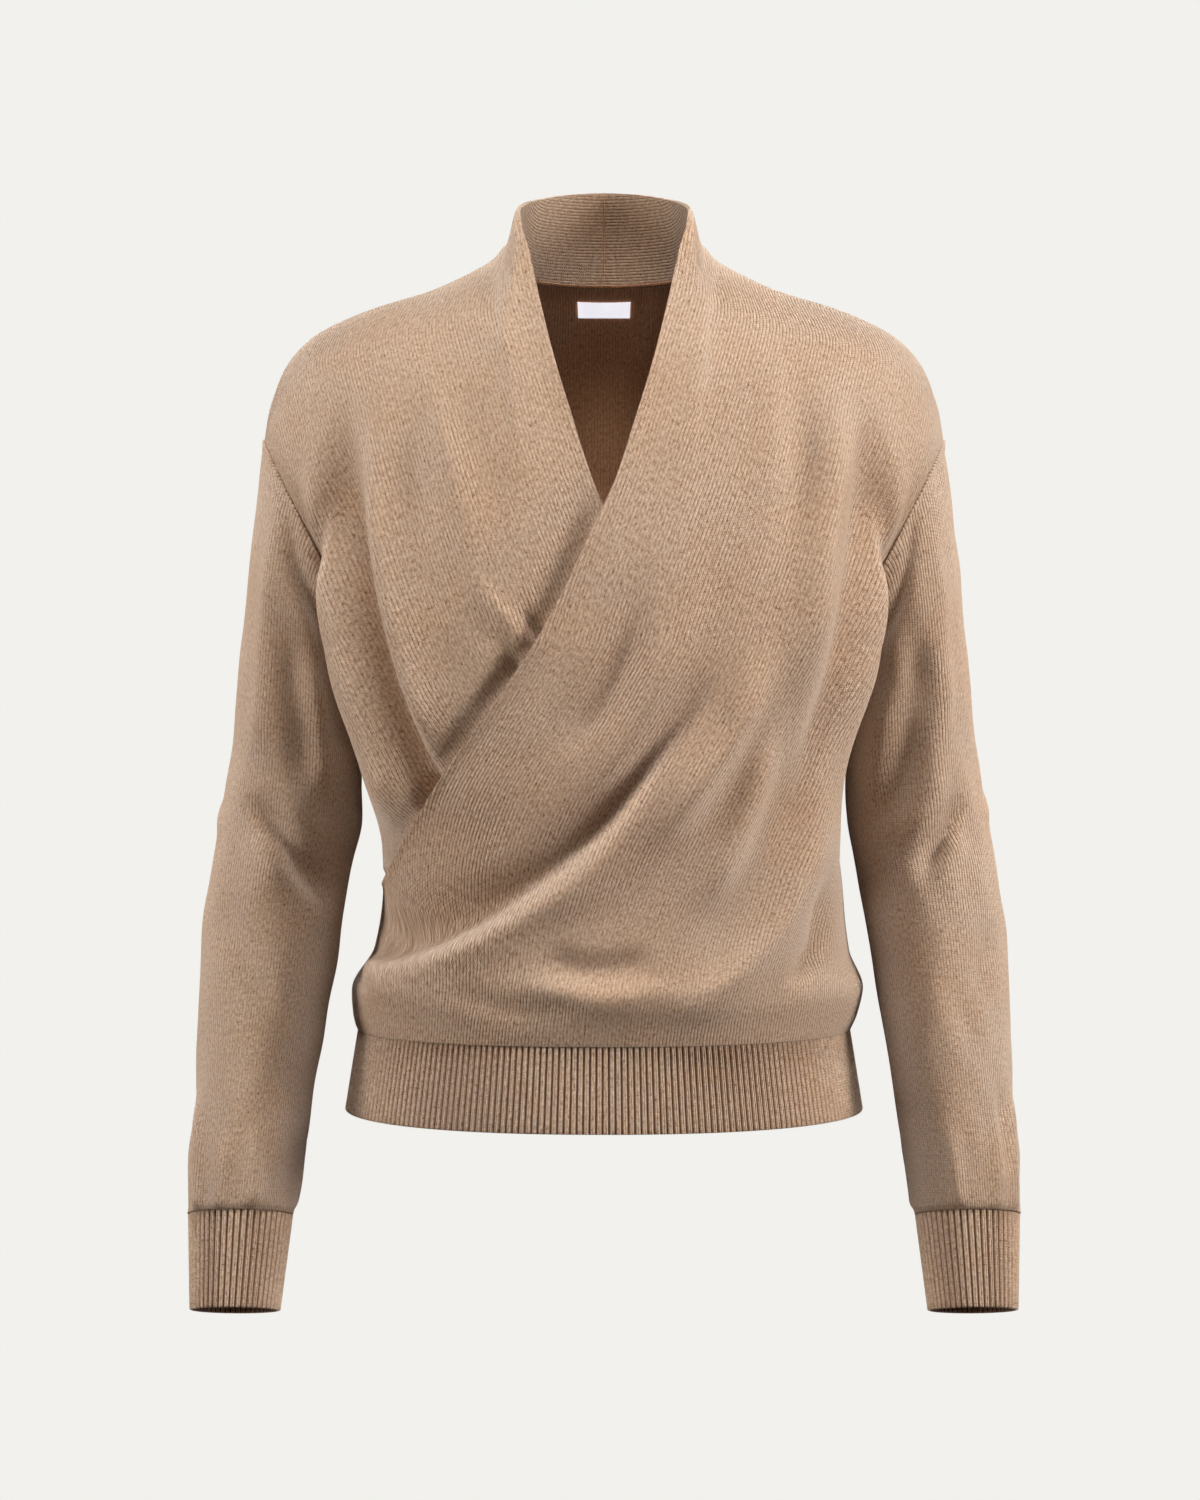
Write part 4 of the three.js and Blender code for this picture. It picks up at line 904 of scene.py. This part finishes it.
def front_panel(name, side, node, material):
    """A front with its half of the collar. side is 1 for the left, over front."""
    def keep(column, row):
        return row < BODY_ROWS or column >= NECK_COLUMN

    mesh, column, row = grid_mesh(name, FRONT_COLUMNS, BODY_ROWS + COLLAR_ROWS, keep)
    front = front_grid(side)
    grid = np.full((BODY_ROWS + COLLAR_ROWS + 1, FRONT_COLUMNS + 1, 5), np.nan)
    grid[: BODY_ROWS + 1] = front
    grid[BODY_ROWS + 1 :, NECK_COLUMN:] = collar_grid(side, front[-1, NECK_COLUMN:])
    piece = knit_sheet(name, mesh, grid[row, column], side > 0, node, material)
    slots = [2 if face.center.z > COLLAR_FROM * MM else 0 for face in mesh.polygons]
    mesh.polygons.foreach_set("material_index", slots)
    return piece


def back_panel(name, node, material):
    mesh, column, row = grid_mesh(name, BACK_COLUMNS, BODY_ROWS)
    up = np.linspace(0, 1, BODY_ROWS + 1)
    reach, arcs = level_arcs(up, 1)
    ends = np.ones_like(up)
    reaches = even_reaches(reach, arcs, -ends, ends, BACK_COLUMNS)
    across = np.array([np.interp(r, reach, arc) for r, arc in zip(reaches, arcs)])
    points = back_points(reaches, np.broadcast_to(up[:, None], reaches.shape))
    along = run_along(body_form(np.full_like(up, 0.5), up, 1))
    v = np.broadcast_to(along[:, None], across.shape)
    placed = np.dstack([points, across, v])[row, column]
    return knit_sheet(name, mesh, placed, True, node, material)


# ---------------- sleeves and bands


def sleeve_form(part, angle):
    """Points of the left sleeve before its creases. part runs from 0 at the armhole to 1 at the
    cuff seam, and angle from 0 at the outer side round the front."""
    cos, forward = np.cos(angle), np.sin(angle)
    x = mix(SLEEVE.read("in_x", part), SLEEVE.read("out_x", part), (1 + cos) / 2)
    z = mix(SLEEVE.read("in_z", part), SLEEVE.read("out_z", part), (1 + cos) / 2)
    depth = SLEEVE.read("depth", part)
    y = SLEEVE.read("y", part) - depth * forward
    tilt = math.radians(CUFF["tilt"]) * smooth(0.55, 0.95, part)
    return stack(x, y, z + depth * forward * np.tan(tilt))


def sleeve_normal(part, angle):
    step = 0.01
    p = np.clip(part, step, 1 - step)
    around = sleeve_form(p, angle + step) - sleeve_form(p, angle - step)
    down = sleeve_form(p + step, angle) - sleeve_form(p - step, angle)
    return unit(-np.cross(around, down))


def cuff_ring(angle, down, more):
    """A point of the left cuff: down is the distance below its seam, more moves it outwards."""
    tilt = math.radians(CUFF["tilt"])
    fall = down / CUFF["length"]
    width = mix(CUFF_TOP["half_width"], CUFF["half_width"], fall) + more
    depth = mix(CUFF_TOP["half_depth"], CUFF["half_depth"], fall) + more
    x = CUFF_TOP["centre"][0] + width * np.cos(angle) + CUFF["lean"] * fall
    forward = depth * np.sin(angle)
    y = CUFF_TOP["centre"][1] - down * math.sin(tilt) - forward * math.cos(tilt)
    z = CUFF_TOP["centre"][2] - down * math.cos(tilt) + forward * math.sin(tilt)
    return stack(x, y, z)


def crease_height(creases, angle, height):
    """The height that creases add round a sleeve, which they may cross the start of."""
    creases = [
        crease._replace(path=[(math.radians(a) * SLEEVE_MEAN_RADIUS, z) for a, z in crease.path])
        for crease in creases
    ]
    round_once = 2 * math.pi * SLEEVE_MEAN_RADIUS
    across = (angle * SLEEVE_MEAN_RADIUS) % round_once
    return fold_height(creases, across, height) + fold_height(creases, across - round_once, height)


def sleeve_points(part, angle, down, length, side):
    """Points of a sleeve on the left side with its creases and its ends turned in to the seams.
    down is how far each lies along the sleeve's length."""
    points = sleeve_form(part, angle)
    calm = smooth(0, SLEEVE_CALM[0], part) * smooth(1, SLEEVE_CALM[1], part)
    beside = points[:, 1] + SLEEVE_WAVE_TURN * np.cos(angle)
    waves = soft_waves(points[:, 2], beside, SLEEVE_WAVE_SEEDS[side], **SLEEVE_WAVES)
    own = LEFT_SLEEVE_CREASES if side > 0 else RIGHT_SLEEVE_CREASES
    out = calm * (crease_height(BOTH_SLEEVE_CREASES + own, angle, points[:, 2]) + waves)
    out = out - seam_dip(down) - seam_dip(length - down)
    points = points + sleeve_normal(part, angle) * out[:, None]
    dipped = armhole_point(angle, -1) - sleeve_normal(part, angle) * SEAM_DIP["depth"]
    points = mix(points, dipped, smooth(SLEEVE_JOINS[0], 0, part)[:, None])
    return mix(points, cuff_ring(angle, 0, 0), smooth(SLEEVE_JOINS[1], 1, part)[:, None])


def sleeve_tube(name, side, node, material):
    mesh, column, row = grid_mesh(name, SLEEVE_COLUMNS, SLEEVE_LEVELS)
    parts = np.linspace(0, 1, SLEEVE_SAMPLES)
    run = run_along((sleeve_form(parts, 0 * parts) + sleeve_form(parts, 0 * parts + math.pi)) / 2)
    down = np.linspace(0, run[-1], SLEEVE_LEVELS + 1)[row]
    angle = math.pi - 2 * math.pi * column / SLEEVE_COLUMNS
    angle = np.where(column == SLEEVE_COLUMNS, math.pi, angle)
    points = sleeve_points(np.interp(down, run, parts), angle, down, run[-1], side)
    points[:, 0] *= side
    around = column / SLEEVE_COLUMNS * 2 * math.pi * SLEEVE_MEAN_RADIUS
    placed = np.column_stack([points, around, -down])
    return knit_sheet(name, mesh, placed, side > 0, node, material, merge=True)


def rib_profile(phase):
    """Height of a rib over its groove at a share of the pitch."""
    height = smooth(0.0, 0.2, phase) * smooth(0.76, 0.56, phase)
    return height * (1 - RIB_LINE["depth"] * rounded(phase - RIB_MIDDLE, RIB_LINE["spread"]))


def even_angles(outline, count):
    """Angles that space count points evenly round a closed outline, and its length."""
    turns = np.linspace(0, 2 * math.pi, BAND_SAMPLES)
    run = run_along(outline(turns))
    return np.interp(np.linspace(0, run[-1], count + 1), run, turns), run[-1]


def band_section(row, phase, length):
    """How far down a band's points lie and how far out: from the seam down its ribs, round the
    free edge, up the lining and back to the seam."""
    on_rim = np.clip(row - BAND_ROWS, 0, RIM_ROWS) / RIM_ROWS
    on_lining = np.clip(row - BAND_ROWS - RIM_ROWS, 0, LINING_ROWS) / LINING_ROWS
    on_top = np.clip(row - BAND_ROWS - RIM_ROWS - LINING_ROWS, 0, CLOSING_ROWS) / CLOSING_ROWS
    straight = length - RIM_DROP
    outer_down = np.interp(row, [0, 1, BAND_ROWS], [0, RIB_START, straight])
    down = np.where(row <= BAND_ROWS, outer_down, straight * (1 - on_lining))
    outer = RIB_HEIGHT * (rib_profile(phase) * (row > 0) - 1)
    more = mix(outer, -RIB_HEIGHT - RIB_WALL, (1 - np.cos(np.pi * on_rim)) / 2)
    return down + RIM_DROP * np.sin(np.pi * on_rim), mix(more, -RIB_HEIGHT, on_top)


def ribbed_band(name, ring, length, side, node, material):
    """A band with ribs raised over a plain lining. ring(angle, down, more) gives its points
    below the seam, moved out by more."""
    def halfway(turns):
        return ring(turns, length / 2, 0 * turns)

    ribs = round(even_angles(halfway, 8)[1] / RIB_PITCH)
    columns = ribs * POINTS_PER_RIB
    angles = even_angles(halfway, columns)[0]
    rows = BAND_ROWS + RIM_ROWS + LINING_ROWS + CLOSING_ROWS
    mesh, column, row = grid_mesh(name, columns, rows)
    phase = (column % POINTS_PER_RIB) / POINTS_PER_RIB
    down, more = band_section(row, phase, length)
    points = ring(angles[column], down, more)
    points[:, 0] *= side
    set_form(mesh, points, column / POINTS_PER_RIB * RIB_PITCH, -down)
    finish_faces(mesh, flip=side < 0)
    return add_piece(name, mesh, material, "rib", [node])


def hem_ring(angle, down, more):
    """A point of the hem band: down is the distance below its seam, more moves it outwards."""
    level = HEM_BAND.keys[0] + down
    front = np.sin(angle) > 0
    squareness = np.where(front, HEM_SQUARENESS, BACK_SQUARENESS)
    width = HEM_BAND.read("width", level) + more
    deep = np.where(front, HEM_BAND.read("front", level), HEM_BAND.read("back", level))
    cos, sin = np.cos(angle), np.sin(angle)
    x = width * np.sign(cos) * np.abs(cos) ** (2 / squareness)
    y = -(deep + more) * np.sign(sin) * np.abs(sin) ** (2 / squareness)
    return stack(x, y, -level)


# ---------------- label and inside seams


def back_inside(x, height, depth):
    """Points at a depth inside the back's surface, near its centre line."""
    levels = np.linspace(0.6, 1, 400)
    line = body_form(0 * levels, levels, 1)[:, 2]
    up = np.interp(height, line, levels)
    reach = reach_of(x / BODY.read("back_width", up), BACK_SQUARENESS)
    return back_points(reach, up) - body_normal(reach, up, 1) * np.asarray(depth)[..., None]


def neck_label(name, node, material):
    """A blank tape sewn inside the back, a little puffed in its middle."""
    mesh, column, row = grid_mesh(name, LABEL_COLUMNS, LABEL_ROWS)
    x = mix(-LABEL["width"] / 2, LABEL["width"] / 2, column / LABEL_COLUMNS)
    top = NECK_BACK_HEIGHT - LABEL["below"]
    height = mix(top - LABEL["height"], top, row / LABEL_ROWS)
    puffed = TAPE["puff"] * np.sin(np.pi * column / LABEL_COLUMNS) * np.sin(np.pi * row / LABEL_ROWS)
    depth = WALL + LABEL["clearance"] + puffed
    points = back_inside(x, height, depth)
    set_form(mesh, points, x, height)
    finish_faces(mesh, merge=False)
    piece = add_piece(name, mesh, material, "label", [node])
    give_thickness(piece, TAPE["wall"], TAPE["rounding"])
    return piece


def cord_along(name, points, outward, radius, material):
    """A half sunk, beaded cord of yarn along points, such as a linked seam shows inside."""
    last = len(points) - 1
    mesh, column, row = grid_mesh(name, CORD_SIDES, last)
    run = run_along(points)
    out = unit(outward)
    beside = unit(np.cross(unit(np.gradient(points, axis=0)), out))
    turn = 2 * np.pi * column / CORD_SIDES
    thick = radius * (0.8 + 0.2 * np.cos(2 * np.pi * run / SEAM_STITCH))[row]
    thick = thick * smooth(0, 1, np.minimum(row, last - row))
    placed = (
        points[row]
        + beside[row] * (np.cos(turn) * thick * CORD_FLATNESS)[:, None]
        + out[row] * (np.sin(turn) * thick)[:, None]
    )
    set_form(mesh, placed, turn * radius, run[row])
    finish_faces(mesh, flip=True)
    return add_piece(name, mesh, material, "knit")


def inside_seams(material):
    """The back neck seam and the collar's centre back seam, as they show inside."""
    turn = np.linspace(-NECK_CORD["half_turn"], NECK_CORD["half_turn"], NECK_CORD["points"])
    seam = neck_seam_point(math.pi / 2 - np.abs(turn))
    seam[:, 0] *= np.where(turn < 0, -1, 1)
    inward = unit(-seam * [1, 1, 0])
    cord_along("neck_seam_inside", seam + inward * WALL, inward, NECK_CORD["radius"], material)
    rise = np.linspace(COLLAR_CORD["from"], COLLAR_CORD["to"], COLLAR_CORD["points"])
    line = collar_point(np.full_like(rise, math.pi / 2), rise)
    forward = np.broadcast_to([0.0, -1.0, 0.0], line.shape)
    line = line + forward * (WALL - COLLAR_CORD["sunk"])
    cord_along("collar_seam_inside", line, forward, COLLAR_CORD["radius"], material)


# ---------------- materials


def linear(code):
    """An sRGB hex colour as linear red, green, blue and alpha."""
    parts = [int(code[i : i + 2], 16) / 255 for i in (1, 3, 5)]
    return [c / 12.92 if c <= 0.04045 else ((c + 0.055) / 1.055) ** 2.4 for c in parts] + [1.0]


def add(tree, kind, inputs=(), output=0, **settings):
    """Adds a shader node of a kind with its settings and links, and returns one of its outputs.
    inputs are values, or other nodes' outputs, by name or number."""
    node = tree.nodes.new("ShaderNode" + kind)
    for key, value in settings.items():
        setattr(node, key, value)
    for key, value in dict(inputs).items():
        if isinstance(value, bpy.types.NodeSocket):
            tree.links.new(value, node.inputs[key])
        else:
            node.inputs[key].default_value = value
    return node.outputs[output] if node.outputs else node


def new_material(name):
    material = bpy.data.materials.new(name)
    material.use_nodes = True
    material.node_tree.nodes.clear()
    return material, material.node_tree


def off_middle(tree, periods):
    """How far a place is from the middle of the period it falls in."""
    phase = add(tree, "Math", {0: periods}, operation="FRACT")
    phase = add(tree, "Math", {0: phase, 1: 0.5}, operation="SUBTRACT")
    return add(tree, "Math", {0: phase}, operation="ABSOLUTE")


def stitch_relief(tree, across, along, wale):
    """Height of stocking stitch from 0 to 1: two legs to each wale that rise as a V."""
    wales = add(tree, "Math", {0: across, 1: wale * MM}, operation="DIVIDE")
    off_centre = off_middle(tree, wales)
    wale_side = add(
        tree, "MapRange", {0: off_centre, 1: 0.5, 2: 0.22, 3: 0.0, 4: 1.0},
        interpolation_type="SMOOTHSTEP",
    )
    turns = add(tree, "Math", {0: along, 1: 2 * math.pi / (COURSE * MM)}, operation="MULTIPLY")
    rising = add(
        tree, "Math", {0: off_centre, 1: -4.0 * math.pi, 2: turns}, operation="MULTIPLY_ADD"
    )
    wave = add(tree, "Math", {0: rising}, operation="COSINE")
    loop = add(tree, "Math", {0: wave, 1: 0.3, 2: 0.7}, operation="MULTIPLY_ADD")
    return add(tree, "Math", {0: wale_side, 1: loop}, operation="MULTIPLY")


def yarn_tone(tree, place, measures, relief):
    """How light the cloth is. The painted shade in its stitches' hollows is deeper in some patches,
    about 26 mm wide, than in others, and its yarn is spun of two browns, whose flecks are 1.5 mm
    dashes along the wales: real ones are finer, and these are drawn as coarse as they need to show."""
    cloud = add(tree, "TexNoise", {"Vector": place, "Scale": 38.0, "Detail": 4.0, "Roughness": 0.6})
    # clear sets how deep the painted shade in the stitches' hollows is in each patch.
    clear = add(tree, "MapRange", {0: cloud, 1: 0.35, 2: 0.65, 3: 0.12, 4: 0.46})
    plain = add(tree, "MapRange", {0: cloud, 1: 0.35, 2: 0.65, 3: 0.48, 4: 0.34})
    dashes = add(tree, "VectorMath", {0: measures, 1: (1.0, 0.6, 1.0)}, operation="MULTIPLY")
    yarn = add(
        tree, "TexNoise", {"Vector": dashes, "Scale": 600.0, "Detail": 4.0, "Roughness": 0.85}
    )
    fleck = add(tree, "TexNoise", {"Vector": dashes, "Scale": 700.0, "Detail": 1.0})
    spun = add(tree, "MapRange", {0: yarn, 1: 0.36, 2: 0.64, 3: -0.3, 4: 0.3})
    spots = add(
        tree, "MapRange", {0: fleck, 1: 0.58, 2: 0.74, 3: 0.0, 4: -0.32},
        interpolation_type="SMOOTHSTEP",
    )
    # Painted shade: the tone drops where the stitch relief is low, in the stitches' hollows.
    tone = add(tree, "Math", {0: relief, 1: clear, 2: plain}, operation="MULTIPLY_ADD")
    tone = add(tree, "Math", {0: tone, 1: spun}, operation="ADD")
    return add(tree, "Math", {0: tone, 1: spots}, operation="ADD", use_clamp=True)


def rib_grooves(tree, measures, rib_pitch):
    """1 on a rib and 0 in the groove beside it, where little light comes."""
    across = add(tree, "SeparateXYZ", {0: measures})
    ribs = add(tree, "Math", {0: across, 1: rib_pitch * MM}, operation="DIVIDE")
    ribs = add(tree, "Math", {0: ribs, 1: RIB_MIDDLE}, operation="SUBTRACT")
    return add(
        tree, "MapRange", {0: off_middle(tree, ribs), 1: 0.06, 2: 0.22, 3: 0.0, 4: 1.0},
        interpolation_type="SMOOTHSTEP",
    )


def warm_patches(tree, place, colour):
    """Makes patches about 70 mm wide slightly warmer, where the nap lies another way."""
    wide = add(tree, "TexNoise", {"Vector": place, "Scale": 14.0, "Detail": 5.0, "Roughness": 0.7})
    warm = add(tree, "MapRange", {0: wide, 1: 0.4, 2: 0.66})
    tint = add(
        tree, "Mix", {"Factor": warm, 6: linear("#FFFFFF"), 7: linear("#FDF6EE")},
        output=2, data_type="RGBA",
    )
    return add(
        tree, "Mix", {"Factor": 1.0, 6: colour, 7: tint},
        output=2, data_type="RGBA", blend_type="MULTIPLY",
    )


def knit_colour(tree, place, measures, relief, light, dark, rib_pitch):
    tone = yarn_tone(tree, place, measures, relief)
    if rib_pitch:
        groove = rib_grooves(tree, measures, rib_pitch)
        # Painted shade in the rib's grooves, multiplied into the tone.
        tone = add(tree, "Math", {0: tone, 1: groove}, operation="MULTIPLY")
    colour = add(
        tree, "Mix", {"Factor": tone, 6: linear(dark), 7: linear(light)},
        output=2, data_type="RGBA",
    )
    return warm_patches(tree, place, colour)


def cashmere(name, light, dark, wale, rib_pitch=None):
    """Brushed cashmere: matt, with a soft nap that catches light at grazing angles, and painted
    shade in the hollows of its stitches. A rib also has painted shade in its grooves."""
    material, tree = new_material(name)
    measures = add(tree, "UVMap", uv_map="knit")
    place = add(tree, "TexCoord", output=3)
    # The stitches wander a little, by up to 0.7 mm.
    drift = add(tree, "TexNoise", {"Vector": place, "Scale": 160.0, "Detail": 2.0}, output=1)
    moved = add(
        tree, "VectorMath", {0: drift, 1: [0.7 * MM] * 3, 2: measures},
        operation="MULTIPLY_ADD",
    )
    across = add(tree, "SeparateXYZ", {0: moved})
    along = add(tree, "SeparateXYZ", {0: moved}, output=1)
    relief = stitch_relief(tree, across, along, wale)

    # The nap stands in tufts about 1.2 mm apart.
    nap = add(tree, "TexNoise", {"Vector": place, "Scale": 850.0, "Detail": 3.0, "Roughness": 0.65})
    height = add(tree, "Math", {0: nap, 1: 0.7, 2: relief}, operation="MULTIPLY_ADD")
    bump = add(tree, "Bump", {"Height": height, "Strength": 1.0, "Distance": 0.7 * MM})
    shader = add(
        tree, "BsdfPrincipled",
        {
            "Base Color": knit_colour(tree, place, measures, relief, light, dark, rib_pitch),
            "Normal": bump,
            "Roughness": 0.92,
            "IOR": 1.45,
            "Specular IOR Level": 0.15,
            "Sheen Weight": 0.62,
            "Sheen Roughness": 0.3,
            "Sheen Tint": linear("#FFFBF6"),
        },
    )
    add(tree, "OutputMaterial", {"Surface": shader}, is_active_output=True)
    return material


def satin_tape(name):
    """White woven satin: smooth and slightly glossy along its fine warp threads. It gives off a
    little light of its own, as its tape shows far brighter than the shaded cloth round it."""
    material, tree = new_material(name)
    measures = add(tree, "UVMap", uv_map="knit")
    across = add(tree, "SeparateXYZ", {0: measures})
    # Warp threads 0.12 mm apart are drawn at 0.5 mm so that they show.
    threads = add(tree, "Math", {0: across, 1: 2 * math.pi / (0.5 * MM)}, operation="MULTIPLY")
    thread = add(tree, "Math", {0: threads}, operation="SINE")
    place = add(tree, "TexCoord", output=3)
    soft = add(tree, "TexNoise", {"Vector": place, "Scale": 90.0, "Detail": 2.0})
    colour = add(
        tree, "Mix", {"Factor": soft, 6: linear("#DFE1EE"), 7: linear("#FBFBFF")},
        output=2, data_type="RGBA",
    )
    bump = add(tree, "Bump", {"Height": thread, "Strength": 0.2, "Distance": 0.05 * MM})
    shader = add(
        tree, "BsdfPrincipled",
        {
            "Base Color": colour,
            "Normal": bump,
            "Roughness": 0.42,
            "Sheen Weight": 0.1,
            "Emission Color": colour,
            "Emission Strength": 0.85,
        },
    )
    add(tree, "OutputMaterial", {"Surface": shader}, is_active_output=True)
    return material


# ---------------- stage, light and camera


def stage_floor(colour):
    bm = bmesh.new()
    bmesh.ops.create_circle(bm, cap_ends=True, segments=96, radius=FLOOR_RADIUS)
    bmesh.ops.translate(bm, vec=(0, 0, FLOOR_HEIGHT), verts=bm.verts)
    mesh = bpy.data.meshes.new("studio_floor")
    bm.to_mesh(mesh)
    bm.free()
    floor = put("studio_floor", mesh)
    material, tree = new_material("matt pale floor")
    shader = add(
        tree, "BsdfPrincipled",
        {
            "Base Color": linear(colour),
            "Roughness": 0.95,
            "Emission Color": linear(colour),
            "Emission Strength": FLOOR_GLOW,
        },
    )
    add(tree, "OutputMaterial", {"Surface": shader}, is_active_output=True)
    mesh.materials.append(material)


def soft_light(name, place, size, power, spread, colour):
    light = bpy.data.lights.new(name, "AREA")
    light.shape = "RECTANGLE"
    light.size, light.size_y = size
    light.energy = power
    light.color = linear(colour)[:3]
    light.spread = math.radians(spread)
    lamp = put(name, light)
    lamp.location = place
    lamp.rotation_euler = (Vector(LIT_POINT) - Vector(place)).to_track_quat("-Z", "Y").to_euler()


def world_light(colour, lighting, share):
    """A pale studio all round: one colour behind the garment, and a share of a warmer one as
    light on it."""
    world = bpy.data.worlds.new("pale studio")
    bpy.context.scene.world = world
    world.use_nodes = True
    tree = world.node_tree
    dim = [share * part for part in linear(lighting)[:3]] + [1.0]
    seen = add(tree, "LightPath")
    shown = add(
        tree, "Mix", {"Factor": seen, 6: dim, 7: linear(colour)}, output=2, data_type="RGBA"
    )
    tree.links.new(shown, tree.nodes["Background"].inputs["Color"])


def camera():
    data = bpy.data.cameras.new("camera")
    data.lens = CAMERA_LENS
    data.sensor_width = 36.0
    data.shift_x, data.shift_y = CAMERA_SHIFT
    data.dof.use_dof = False
    view = put("camera", data)
    view.location = CAMERA_PLACE
    view.rotation_euler = (math.radians(90), 0, 0)
    bpy.context.scene.camera = view


camera()
world_light("#F2F1ED", "#EE8A3C", 0.045)
stage_floor("#F4F3F0")
for lamp, settings in LAMPS.items():
    soft_light(lamp, *settings)

scene = bpy.context.scene
scene.view_settings.view_transform = "Standard"

# ---------------- the garment

# The knit's wrong side, which shows inside the neck, in warmer, more saturated colours than the right side:
# painted shade of the warm light bounced round inside.
PURL_SIDE_WARM_SHADE = cashmere("camel cashmere, purl side with painted warm shade", "#E2AF86", "#925C36", WALE)
knit = cashmere("brushed camel cashmere knit", "#E5CCB2", "#7A5133", WALE)
rib_knit = cashmere("camel cashmere rib", "#E8CFB5", "#7A5336", RIB_PITCH / 2, RIB_PITCH)
tape = satin_tape("white satin label tape")

over = front_panel("left_front_knit", 1, "front_left_over", knit)
under = front_panel("right_front_knit", -1, "front_right_under", knit)
back = back_panel("back_knit", "back", knit)
sleeves = [
    sleeve_tube(f"{name}_sleeve_knit", side, f"sleeve_{name}", knit) for name, side in SIDES.items()
]
hem = ribbed_band("hem_rib_band", hem_ring, HEM_LENGTH, 1, "hem_rib", rib_knit)
cuffs = [
    ribbed_band(f"{name}_cuff_band", cuff_ring, CUFF["length"], side, f"cuff_{name}", rib_knit)
    for name, side in SIDES.items()
]
label = neck_label("neck_label_tape", "neck_label", tape)
inside_seams(PURL_SIDE_WARM_SHADE)
